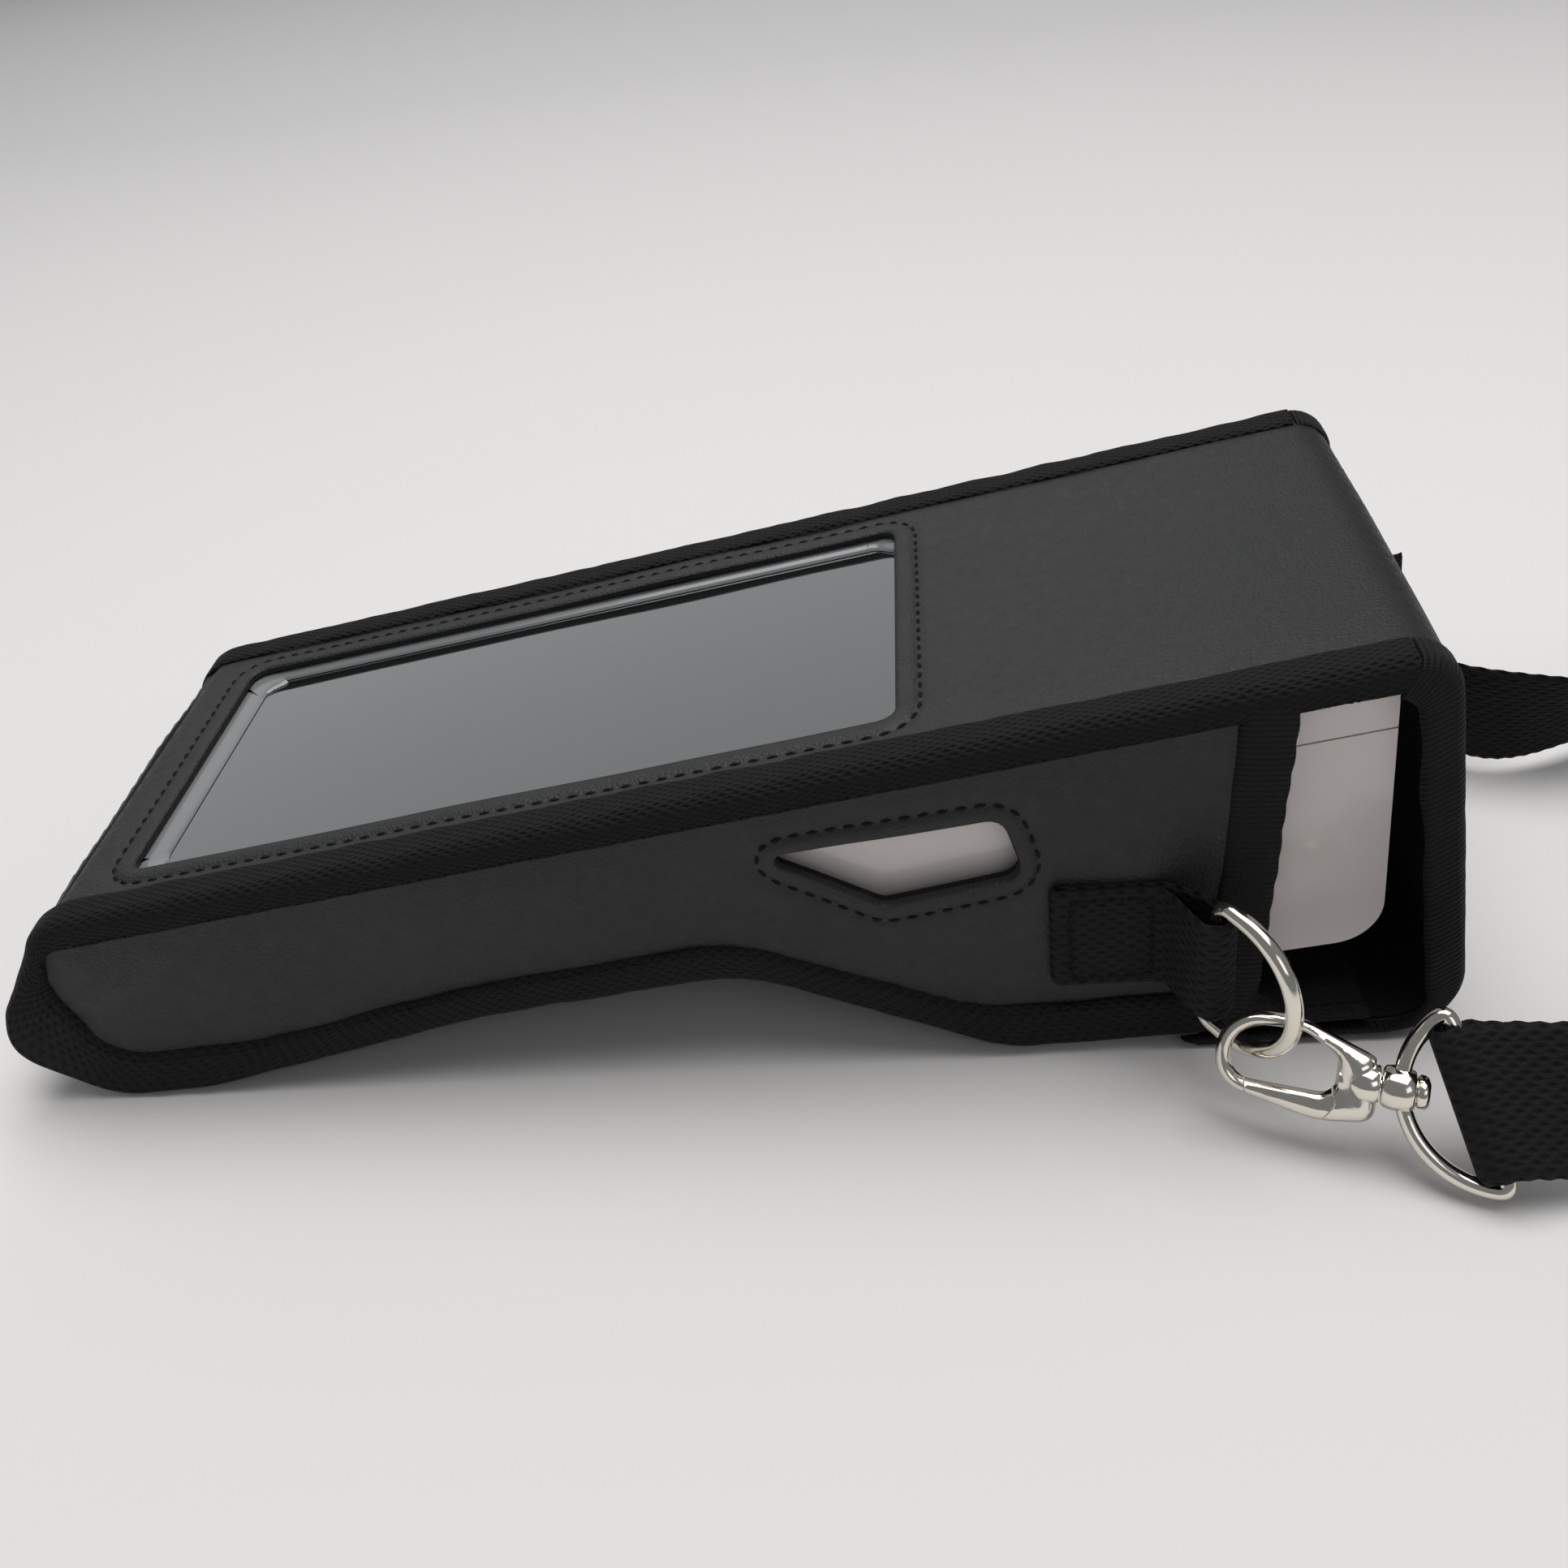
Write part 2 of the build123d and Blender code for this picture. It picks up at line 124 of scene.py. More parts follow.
def rounded(points, radii, spacing, counts=None):
    """A filleted outline, closed. Outlines given the same counts match point for point."""
    corners = [corner_arc(points[i - 1], points[i], points[(i + 1) % len(points)], radii[i])
               for i in range(len(points))]
    if counts is None:
        counts = []
        for i, (start, end, centre) in enumerate(corners):
            run = np.linalg.norm(corners[(i + 1) % len(corners)][0] - end)
            bow = np.linalg.norm(end - start) * 1.15
            counts.append((max(3, round(bow / spacing)), max(1, round(run / spacing))))
    pieces = []
    for i, (start, end, centre) in enumerate(corners):
        arc, run = counts[i]
        pieces.append(arc_points(start, end, centre, arc))
        following = corners[(i + 1) % len(corners)][0]
        pieces.append(end + (following - end) * np.linspace(0, 1, run + 1)[1:-1, None])
    return np.concatenate(pieces), counts


def lengths(points):
    return np.concatenate([[0], np.cumsum(np.linalg.norm(np.diff(points, axis=0), axis=1))])


def resample(points, spacing, closed=False):
    """Points evenly along a line, about spacing apart."""
    if closed:
        points = np.concatenate([points, points[:1]])
    along = lengths(points)
    count = max(2, round(along[-1] / spacing))
    wanted = np.linspace(0, along[-1], count + 1)
    if closed:
        wanted = wanted[:-1]
    return np.stack([np.interp(wanted, along, points[:, k]) for k in range(points.shape[1])], 1)


def distance_to(line, points):
    """Distance from each 2D point to a line through points."""
    a, b = line[:-1], line[1:]
    step = b - a
    size = np.maximum((step ** 2).sum(1), 1e-12)
    best = np.full(len(points), 1e9)
    for start, along, square in zip(a, step, size):
        t = np.clip(((points - start) @ along) / square, 0, 1)
        best = np.minimum(best, np.linalg.norm(points - start - t[:, None] * along, axis=1))
    return best


def distance_round(loop, points):
    """Distance from each 2D point to a closed line."""
    return distance_to(np.concatenate([loop, loop[:1]]), points)


def inside(outline, points):
    """Which 2D points lie inside a closed outline."""
    result = np.zeros(len(points), bool)
    x, y = points[:, 0], points[:, 1]
    for (ax, ay), (bx, by) in zip(outline, np.roll(outline, -1, 0)):
        crosses = (ay > y) != (by > y)
        with np.errstate(divide="ignore", invalid="ignore"):
            at = (bx - ax) * (y - ay) / (by - ay) + ax
        result ^= crosses & (x < at)
    return result


def grow(outline, amount):
    """A closed outline moved outwards by amount, or inwards where it is negative."""
    before, after = np.roll(outline, 1, 0), np.roll(outline, -1, 0)
    along = after - before
    along /= np.linalg.norm(along, axis=1)[:, None]
    normal = np.stack([along[:, 1], -along[:, 0]], 1)
    area = (outline[:, 0] * after[:, 1] - after[:, 0] * outline[:, 1]).sum()
    return outline + normal * (amount if area > 0 else -amount)


# ---- meshes ----


def new_piece(name, vertices, faces, materials, attributes=None):
    """A mesh object from vertices in metres."""
    mesh = bpy.data.meshes.new(name)
    mesh.from_pydata([tuple(v) for v in vertices], [], [tuple(f) for f in faces])
    for key, values in (attributes or {}).items():
        layer = mesh.attributes.new(key, "FLOAT_VECTOR", "POINT")
        layer.data.foreach_set("vector", np.asarray(values, np.float32).ravel())
    mesh.polygons.foreach_set("use_smooth", [True] * len(mesh.polygons))
    for material in materials:
        mesh.materials.append(material)
    piece = bpy.data.objects.new(name, mesh)
    bpy.context.scene.collection.objects.link(piece)
    return piece


def grid_faces(rows, columns, first=0, closed=False):
    """Quads over rows × columns vertices; closed joins the last column to the first."""
    faces = []
    for i in range(rows - 1):
        for j in range(columns if closed else columns - 1):
            a = first + i * columns + j
            b = first + i * columns + (j + 1) % columns
            faces.append((a, b, b + columns, a + columns))
    return faces


def tube_faces(rows, columns, first=0):
    """Quads round a tube of rows × columns vertices, and its two end caps."""
    faces = grid_faces(rows, columns, first, closed=True)
    faces.append(tuple(range(first, first + columns)))
    last = first + (rows - 1) * columns
    faces.append(tuple(range(last, last + columns)))
    return faces


def edge_drop(gap, radius):
    """How far a sheet's face falls away near an edge that is rounded with a radius."""
    near = np.clip(gap / radius, 0, 1)
    return radius * (1 - np.sqrt(np.clip(1 - (1 - near) ** 2, 0, 1)))


def sheet_mesh(outline, holes, spacing, details=(), cuts=()):
    """Triangles over a flat outline with holes. details are (line, offsets) that get rows of points, and
    cuts are closed lines that no triangle crosses."""
    loops = [outline] + list(holes) + list(cuts)
    boundary = np.concatenate(loops)
    edges = []
    first = 0
    for loop in loops:
        edges += [(first + i, first + (i + 1) % len(loop)) for i in range(len(loop))]
        first += len(loop)
    low, high = outline.min(0), outline.max(0)
    rows = np.arange(low[1] + spacing / 2, high[1], spacing * 0.87)
    grid = []
    for k, v in enumerate(rows):
        u = np.arange(low[0] + spacing * (0.25 + 0.5 * (k % 2)), high[0], spacing)
        grid.append(np.stack([u, np.full(len(u), v)], 1))
    grid = np.concatenate(grid)

    def keep(points, clearance):
        good = inside(outline, points)
        for hole in holes:
            good &= ~inside(hole, points)
        points = points[good]
        for loop in loops:
            points = points[distance_round(loop, points) > clearance]
        return points

    rings = [keep(grow(line, offset), 0.12) for line, offsets in details for offset in offsets]
    if rings:
        rings = np.concatenate(rings)
        grid = keep(grid, spacing * 0.45)
        for line, offsets in details:
            span = max(abs(offset) for offset in offsets) + spacing * 0.4
            grid = grid[distance_round(line, grid) > span]
        points = np.concatenate([boundary, rings, grid])
    else:
        points = np.concatenate([boundary, keep(grid, spacing * 0.45)])
    found = delaunay_2d_cdt([Vector(p) for p in points], edges, [], 0, 1e-5)
    flat = np.array([tuple(v) for v in found[0]])
    triangles = np.array(found[2])
    centre = flat[triangles].mean(1)
    good = inside(outline, centre)
    for hole in holes:
        good &= ~inside(hole, centre)
    return flat, triangles[good]


def solid_sheet(name, flat, triangles, outer, inner, materials):
    """A closed sheet from a flat mesh: outer and inner are its two faces' points in metres."""
    count = len(flat)
    edges = {}
    for a, b, c in triangles:
        for pair in ((a, b), (b, c), (c, a)):
            edges[pair] = True
    rim = [pair for pair in edges if (pair[1], pair[0]) not in edges]
    faces = [tuple(t) for t in triangles]
    faces += [(a + count, c + count, b + count) for a, b, c in triangles]
    faces += [(b, a, a + count, b + count) for a, b in rim]
    cloth = np.zeros((2 * count, 3))
    cloth[:count, :2] = flat
    cloth[count:, :2] = flat
    piece = new_piece(name, np.concatenate([outer, inner]), faces, materials, {"cloth": cloth})
    return square_up(piece)


def square_up(piece, angle=40):
    """Faces turned outwards, and edges sharper than angle shown as edges."""
    working = bmesh.new()
    working.from_mesh(piece.data)
    bmesh.ops.recalc_face_normals(working, faces=working.faces)
    for edge in working.edges:
        edge.smooth = len(edge.link_faces) != 2 or edge.calc_face_angle(0) < math.radians(angle)
    working.to_mesh(piece.data)
    working.free()
    return piece


def used_only(flat, triangles):
    """The points that triangles use, and the triangles counted over them."""
    used = np.unique(triangles)
    order = np.zeros(len(flat), int)
    order[used] = np.arange(len(used))
    return flat[used], order[triangles]


def revolve(profile, count):
    """A turned shape about the first axis: points along three axes, and faces."""
    profile = np.array(profile, float)
    points = []
    for x, r in profile:
        for k in range(count):
            angle = 2 * math.pi * k / count
            points.append((x, r * math.cos(angle), r * math.sin(angle)))
    faces = grid_faces(len(profile), count, closed=True)
    return np.array(points), faces


def add_shell(piece, points, faces):
    """One more closed shell in a piece's mesh, with doubled points merged."""
    working = bmesh.new()
    working.from_mesh(piece.data)
    made = [working.verts.new(p) for p in points]
    for face in faces:
        working.faces.new([made[k] for k in face]).smooth = True
    bmesh.ops.remove_doubles(working, verts=made, dist=1e-7)
    working.to_mesh(piece.data)
    working.free()


def wander(values, scale, size, seed=0.0):
    """Smooth random values, up to about ±size, at points of one to three coordinates."""
    values = np.atleast_2d(np.asarray(values, float))
    result = []
    for value in values:
        point = list(value) + [0.0] * (3 - len(value))
        result.append(noise.noise(Vector(point) / scale + Vector((seed, seed * 1.7, 3.1))))
    return np.array(result) * 2 * size


# ---- materials ----


class Shader:
    """A node material with one Principled shader, with short calls for what it is built from."""

    def __init__(self, name, color, roughness, **settings):
        self.material = bpy.data.materials.new(name)
        self.material.use_nodes = True
        self.tree = self.material.node_tree
        self.main = self.tree.nodes["Principled BSDF"]
        self.main.inputs["Base Color"].default_value = (*color, 1)
        self.main.inputs["Roughness"].default_value = roughness
        for key, value in settings.items():
            self.main.inputs[key.replace("_", " ")].default_value = value

    def node(self, kind, inputs=None, **settings):
        made = self.tree.nodes.new(kind)
        for key, value in settings.items():
            setattr(made, key, value)
        for key, value in (inputs or {}).items():
            if isinstance(value, bpy.types.NodeSocket):
                self.tree.links.new(value, made.inputs[key])
            else:
                made.inputs[key].default_value = value
        return made

    def place(self):
        return self.node("ShaderNodeTexCoord").outputs["Object"]

    def cloth(self):
        """Millimetres along and across the piece's own cloth."""
        return self.node("ShaderNodeAttribute", attribute_name="cloth").outputs["Vector"]

    def noise(self, vector, scale, detail=3.0, rough=0.55):
        inputs = {"Vector": vector, "Scale": scale, "Detail": detail, "Roughness": rough}
        return self.node("ShaderNodeTexNoise", inputs).outputs["Fac"]

    def math(self, operation, a, b=0.0):
        return self.node("ShaderNodeMath", {0: a, 1: b}, operation=operation).outputs[0]

    def ramp(self, value, low, high, start=0.0, end=1.0):
        inputs = {"Value": value, "From Min": low, "From Max": high, "To Min": start, "To Max": end}
        return self.node("ShaderNodeMapRange", inputs).outputs["Result"]

    def mix(self, factor, a, b):
        made = self.node("ShaderNodeMix", data_type="RGBA")
        self.tree.links.new(factor, made.inputs["Factor"])
        made.inputs["A"].default_value = (*a, 1)
        made.inputs["B"].default_value = (*b, 1)
        return made.outputs["Result"]

    def color(self, socket):
        self.tree.links.new(socket, self.main.inputs["Base Color"])

    def roughness(self, socket):
        self.tree.links.new(socket, self.main.inputs["Roughness"])

    def bump(self, height, distance, strength=1.0, below=None):
        made = self.node("ShaderNodeBump", {"Height": height, "Distance": distance, "Strength": strength})
        if below is not None:
            self.tree.links.new(below, made.inputs["Normal"])
        self.tree.links.new(made.outputs["Normal"], self.main.inputs["Normal"])
        return made.outputs["Normal"]


def leather(name, color, pebble=0.00005):
    """Fine-grained satin synthetic leather."""
    shader = Shader(name, color, 0.5, Specular_IOR_Level=0.36)
    where = shader.place()
    cells = shader.node("ShaderNodeTexVoronoi", {"Vector": where, "Scale": 1050.0},
                        feature="DISTANCE_TO_EDGE")
    grain = shader.ramp(cells.outputs["Distance"], 0.0, 0.28)
    creases = shader.noise(where, 420.0, 4.0)
    clouds = shader.noise(where, 22.0, 3.0)
    darker = tuple(c * 0.78 for c in color)
    shader.color(shader.mix(clouds, darker, color))
    shader.roughness(shader.ramp(creases, 0.3, 0.7, 0.43, 0.56))
    first = shader.bump(grain, pebble)
    shader.bump(creases, pebble * 1.6, below=first)
    return shader.material


def woven(name, color, along, across, relief, fuzz):
    """Cloth of crossing yarns: along and across are the two pitches in millimetres."""
    shader = Shader(name, color, 0.72, Specular_IOR_Level=0.16, Sheen_Weight=fuzz,
                    Sheen_Roughness=0.45, Sheen_Tint=(0.5, 0.5, 0.52, 1.0))
    split = shader.node("ShaderNodeSeparateXYZ", {"Vector": shader.cloth()})
    waver = shader.noise(shader.place(), 300.0, 2.0)
    u = shader.math("ADD", split.outputs["X"], shader.math("MULTIPLY", waver, 0.5))
    v = split.outputs["Y"]
    column = shader.math("MULTIPLY", u, math.pi / along)
    row = shader.math("MULTIPLY", v, math.pi / across)
    over = shader.math("MULTIPLY", shader.math("SINE", column), shader.math("SINE", row))
    rib = shader.math("ABSOLUTE", shader.math("COSINE", row))
    weft = shader.math("ABSOLUTE", shader.math("COSINE", column))
    height = shader.math("ADD", shader.math("MULTIPLY", over, 0.5), shader.math("MULTIPLY", rib, 0.35))
    height = shader.math("ADD", height, shader.math("MULTIPLY", weft, 0.25))
    yarn = shader.noise(shader.place(), 2600.0, 3.0, 0.6)
    height = shader.math("ADD", height, shader.math("MULTIPLY", yarn, 0.4))
    # Painted shade and highlight: the colour runs from dark in the hollows between the yarns to light on the
    # yarn tops, following the bump's height.
    painted_hollow_shade = tuple(c * 0.4 for c in color)
    light = tuple(c * 1.7 for c in color)
    shader.color(shader.mix(shader.ramp(height, -0.1, 1.15), painted_hollow_shade, light))
    shader.bump(height, relief)
    return shader.material


def ribbed(name, color, pitch, relief):
    """Grosgrain tape: fine ribs across its width."""
    shader = Shader(name, color, 0.66, Specular_IOR_Level=0.18, Sheen_Weight=0.03, Sheen_Roughness=0.4)
    split = shader.node("ShaderNodeSeparateXYZ", {"Vector": shader.cloth()})
    waver = shader.noise(shader.place(), 240.0, 2.0)
    u = shader.math("ADD", split.outputs["X"], shader.math("MULTIPLY", waver, 0.35))
    rib = shader.math("ABSOLUTE", shader.math("SINE", shader.math("MULTIPLY", u, math.pi / pitch)))
    threads = shader.math("SINE", shader.math("MULTIPLY", split.outputs["Y"], 2 * math.pi / 0.45))
    height = shader.math("ADD", rib, shader.math("MULTIPLY", threads, 0.12))
    yarn = shader.noise(shader.place(), 2400.0, 3.0, 0.6)
    height = shader.math("ADD", height, shader.math("MULTIPLY", yarn, 0.25))
    # Painted shade and highlight: the colour runs from dark between the ribs to light on their crests,
    # following the bump's height.
    painted_hollow_shade = tuple(c * 0.4 for c in color)
    light = tuple(c * 1.3 for c in color)
    shader.color(shader.mix(shader.ramp(height, 0.1, 1.2), painted_hollow_shade, light))
    shader.bump(height, relief)
    return shader.material


def thread(name, color):
    """Twisted polyester thread."""
    shader = Shader(name, color, 0.8, Specular_IOR_Level=0.25)
    twist = shader.node("ShaderNodeTexWave", {"Vector": shader.place(), "Scale": 900.0, "Distortion": 1.0},
                        bands_direction="DIAGONAL")
    # Painted shade: the colour darkens in the grooves of the twist, along the same bands that drive the bump.
    shader.color(shader.mix(twist.outputs["Fac"], tuple(c * 0.6 for c in color), color))
    shader.bump(twist.outputs["Fac"], 0.00008)
    return shader.material


def polished_nickel(name):
    """Bright plated steel, a little warm, with faint casting waves and fine scratches."""
    shader = Shader(name, (0.78, 0.755, 0.71), 0.12, Metallic=1.0)
    where = shader.place()
    shader.roughness(shader.ramp(shader.noise(where, 700.0, 4.0), 0.35, 0.75, 0.07, 0.2))
    worn = shader.noise(where, 90.0, 3.0)
    shader.color(shader.mix(worn, (0.86, 0.82, 0.74), (0.72, 0.68, 0.60)))
    shader.bump(shader.noise(where, 260.0, 2.0), 0.00006)
    return shader.material


def gloss_shell(name, color, roughness=0.16):
    """Moulded glossy plastic with a trace of orange peel."""
    shader = Shader(name, color, roughness, Coat_Weight=0.4, Coat_Roughness=0.06)
    where = shader.place()
    clouds = shader.noise(where, 18.0, 2.0)
    shader.color(shader.mix(clouds, tuple(c * 0.95 for c in color), color))
    shader.roughness(shader.ramp(shader.noise(where, 120.0, 3.0), 0.3, 0.7, roughness * 0.8, roughness * 1.5))
    shader.bump(shader.noise(where, 480.0, 1.0), 0.00001)
    return shader.material


def screen_glass(name):
    """The black screen under its cover glass, with a few specks of dust."""
    shader = Shader(name, (0.010, 0.011, 0.011), 0.05, IOR=1.6, Coat_Weight=1.0, Coat_Roughness=0.03,
                    Coat_IOR=1.8)
    where = shader.place()
    specks = shader.node("ShaderNodeTexVoronoi", {"Vector": where, "Scale": 95.0})
    dust = shader.ramp(specks.outputs["Distance"], 0.035, 0.02)
    few = shader.ramp(shader.noise(where, 60.0, 2.0), 0.6, 0.62)
    shader.color(shader.mix(shader.math("MULTIPLY", dust, few), (0.010, 0.011, 0.011), (0.35, 0.35, 0.33)))
    shader.roughness(shader.ramp(shader.noise(where, 35.0, 3.0), 0.3, 0.8, 0.04, 0.09))
    return shader.material


def plain_pad(name, color, scale):
    """The looped or hooked face of a fastener pad."""
    shader = Shader(name, color, 0.9, Sheen_Weight=0.6, Sheen_Roughness=0.6)
    where = shader.place()
    nap = shader.noise(where, scale, 4.0, 0.7)
    # Painted shade: the colour darkens where the nap is low, following the same pattern that drives the bump.
    shader.color(shader.mix(nap, tuple(c * 0.4 for c in color), color))
    shader.bump(nap, 0.0004)
    return shader.material


BLACK_LEATHER = leather("black_leather", (0.0165, 0.0172, 0.018))
LINING_CLOTH = woven("lining_cloth", (0.008, 0.008, 0.0085), 0.5, 0.5, 0.00008, 0.05)
BINDING_TAPE = woven("binding_tape", (0.0064, 0.0065, 0.0069), 1.15, 0.62, 0.0003, 0.03)
GROSGRAIN = ribbed("grosgrain", (0.0072, 0.0073, 0.0077), 0.95, 0.00022)
WEBBING = woven("webbing", (0.0080, 0.0080, 0.0086), 1.5, 0.95, 0.00038, 0.03)
THREAD = thread("black_thread", (0.006, 0.006, 0.0065))
NICKEL = polished_nickel("nickel")
SHELL = gloss_shell("warm_white_shell", (0.74, 0.685, 0.655))
SHELL_DARK = gloss_shell("roll_cover_shell", (0.5, 0.47, 0.45), 0.25)
GLASS = screen_glass("screen_glass")
RIM = gloss_shell("window_rim", (0.20, 0.205, 0.21), 0.14)
SEAL = plain_pad("seal_rubber", (0.06, 0.058, 0.056), 900.0)
LOOP_PAD = plain_pad("loop_pad_pile", (0.02, 0.02, 0.021), 1300.0)
HOOK_PAD = plain_pad("hook_pad_pile", (0.018, 0.018, 0.019), 700.0)

# ---- camera and light ----


CAMERA_PLACE = (0.04357, -0.2461, 0.19299)
CAMERA_TURN = (55.849, 6.578, 3.034)
CAMERA_LENS = 37.27
FLOOR_FRONT, WALL_FOOT, WALL_CURVE, WALL_TOP = -3.0, 1.9, 1.2, 4.0
FLOOR_HALF_WIDTH = 5.0
ROOM_LIGHT = 0.20


def add_camera():
    data = bpy.data.cameras.new("camera")
    data.sensor_width = 36.0
    data.lens = CAMERA_LENS
    data.clip_start = 0.01
    camera = bpy.data.objects.new("camera", data)
    camera.location = CAMERA_PLACE
    camera.rotation_euler = [math.radians(angle) for angle in CAMERA_TURN]
    bpy.context.scene.collection.objects.link(camera)
    bpy.context.scene.camera = camera


def add_light(name, location, target, size, power, color=(1, 1, 1)):
    data = bpy.data.lights.new(name, "AREA")
    data.shape = "RECTANGLE"
    data.size, data.size_y = size
    data.energy = power
    data.color = color
    light = bpy.data.objects.new(name, data)
    light.location = location
    direction = Vector(target) - Vector(location)
    light.rotation_euler = direction.to_track_quat("-Z", "Y").to_euler()
    bpy.context.scene.collection.objects.link(light)


def add_backdrop():
    """A pale floor that curves up into a pale wall behind, greyer further back with painted shade."""
    rows = [(FLOOR_FRONT, 0.0), (WALL_FOOT, 0.0)]
    for step in range(1, 13):
        angle = math.pi / 2 * step / 12
        rows.append((WALL_FOOT + WALL_CURVE * math.sin(angle), WALL_CURVE - WALL_CURVE * math.cos(angle)))
    rows.append((WALL_FOOT + WALL_CURVE, WALL_TOP))
    vertices = [(x, y, z) for y, z in rows for x in (-FLOOR_HALF_WIDTH, FLOOR_HALF_WIDTH)]
    shader = Shader("backdrop", (0.80, 0.785, 0.775), 0.75)
    # Painted shade: the floor greys from 0.1 m to 0.9 m behind the case and the wall stays grey, standing in
    # for light falling off; the mottle is random tone.
    mottled = shader.noise(shader.place(), 3.0, 3.0)
    depth = shader.node("ShaderNodeSeparateXYZ", {"Vector": shader.place()}).outputs["Y"]
    far_shade_and_mottle = shader.math("ADD", shader.ramp(depth, 0.1, 0.9), shader.math("MULTIPLY", mottled, 0.15))
    shader.color(shader.mix(far_shade_and_mottle, (0.81, 0.795, 0.787), (0.66, 0.65, 0.65)))
    floor = new_piece("backdrop", vertices, grid_faces(len(rows), 2), [shader.material])


def add_world():
    world = bpy.data.worlds.new("room")
    world.use_nodes = True
    world.node_tree.nodes["Background"].inputs["Color"].default_value = (0.95, 0.97, 1.0, 1)
    world.node_tree.nodes["Background"].inputs["Strength"].default_value = ROOM_LIGHT
    bpy.context.scene.world = world


add_camera()
add_backdrop()
add_world()
add_light("ceiling", (0.12, 0.16, 1.45), (0.0, 0.0, 0.0), (1.6, 1.2), 20.5, (1.0, 0.99, 0.975))
add_light("window", (-0.72, 1.7, 1.05), (0.0, 0.0, 0.04), (2.5, 1.2), 6.0, (0.96, 0.98, 1.0))
add_light("fill", (0.6, -1.2, 0.9), (0.05, 0.0, 0.03), (0.8, 0.6), 1.6, (0.96, 0.98, 1.0))
bpy.context.scene.view_settings.view_transform = "Standard"


def settle(piece, body, slot_name, *replaced):
    """The piece rides on a body and may stand for CAD nodes, which it hides. slot_name is not used."""
    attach(piece, body)
    if replaced:
        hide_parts(*replaced)
    return piece


# ---- shoulder strap ----

# Route of the strap's centreline on the near and the far side
NEAR_ROUTE = [(122.5, -75.5), (140, -75), (157, -71), (170, -60), (177, -46), (184, -35)]
FAR_ROUTE = [(183, 34), (173, 29), (162, 25.5), (152, 25), (143, 27), (136, 33), (131, 44), (129, 57),
             (127, 69), (122.5, 75.5)]
FAR_RISE = 2.0
HANK_X = (184.0, 306.0)
HANK_RUNS = 8
HANK_PITCH = 10.0
STRAP_MIDDLE = STRAP_LOW + WEB / 2
TIE = (238.0, 10.0, 0.8)


def hank_route():
    """Back and forth runs of the folded strap, from its near to its far corner."""
    low, high = HANK_X[0] + 7, HANK_X[1] - 4
    route = []
    for run in range(HANK_RUNS):
        y = (run - (HANK_RUNS - 1) / 2) * HANK_PITCH
        xs = np.linspace(low, high, 5)
        for x in (xs if run % 2 == 0 else xs[::-1]):
            route.append((x, y))
    return route


def nurbs_line(name, points):
    """Points along the NURBS spline through a route, read from a curve with no bevel."""
    data = bpy.data.curves.new(name, "CURVE")
    data.dimensions = "3D"
    data.resolution_u = 12
    spline = data.splines.new("NURBS")
    spline.points.add(len(points) - 1)
    for point, place_at in zip(spline.points, points):
        point.co = (*place_at, 1)
    spline.order_u = 3
    spline.use_endpoint_u = True
    curve = bpy.data.objects.new(name, data)
    bpy.context.scene.collection.objects.link(curve)
    mesh = bpy.data.meshes.new_from_object(curve)
    line = np.array([tuple(v.co) for v in mesh.vertices])
    bpy.data.meshes.remove(mesh)
    bpy.data.objects.remove(curve)
    bpy.data.curves.remove(data)
    return line


def web_along(name, line, up, width, thick, material, start=0.0):
    """Flat webbing along a line: up gives the direction of its width at each point."""
    along = np.gradient(line, axis=0)
    along /= np.linalg.norm(along, axis=1)[:, None]
    up = up / np.linalg.norm(up, axis=1)[:, None]
    out = np.cross(along, up)
    out /= np.linalg.norm(out, axis=1)[:, None]
    steps = 24
    profile = []
    for k in range(steps + 1):
        v = -0.5 + k / steps
        edge = min(1.0, (0.5 - abs(v)) * width / (thick * 0.6))
        profile.append((v * width, 0.5 * thick * math.sqrt(max(0.0, 1 - (1 - edge) ** 2)) + 0.00001))
    ring = [(v, h) for v, h in profile] + [(v, -h) for v, h in profile[::-1]]
    distance = lengths(line) * 1000 + start
    vertices, cloth = [], []
    for k in range(len(line)):
        for v, h in ring:
            scallop = 1 + 0.012 * math.sin(distance[k] * 2 * math.pi / 3.0)
            vertices.append(line[k] + up[k] * v * scallop + out[k] * h)
            cloth.append((distance[k], v * 1000, h * 1000))
    faces = tube_faces(len(line), len(ring))
    return square_up(new_piece(name, vertices, faces, [material], {"cloth": cloth}), 60)


def bail_loop():
    """The strap's route from its sewn-down tail, round the bail's bar, to the start of the near run."""
    up = Vector(BAIL_UP)
    ahead = Vector((1, -0.1, 0))
    ahead = (ahead - up * ahead.dot(up)).normalized()
    out = up.cross(ahead)
    bar = Vector(BAIL)
    straight = Vector((1, -0.02, 0.02))
    points = [bar + straight * a + out * n for a, n in ((27, -1.5), (19, -1.35), (11, -1.3), (6, -1.7))]
    points += [bar + ahead * a + out * n for a, n in ((2, -2.9), (-3.1, -2.6), (-3.1, 2.6), (2, 2.7))]
    points += [bar + straight * a + out * n for a, n in ((6, 1.2), (11, 0.6))]
    return [tuple(p) for p in points]


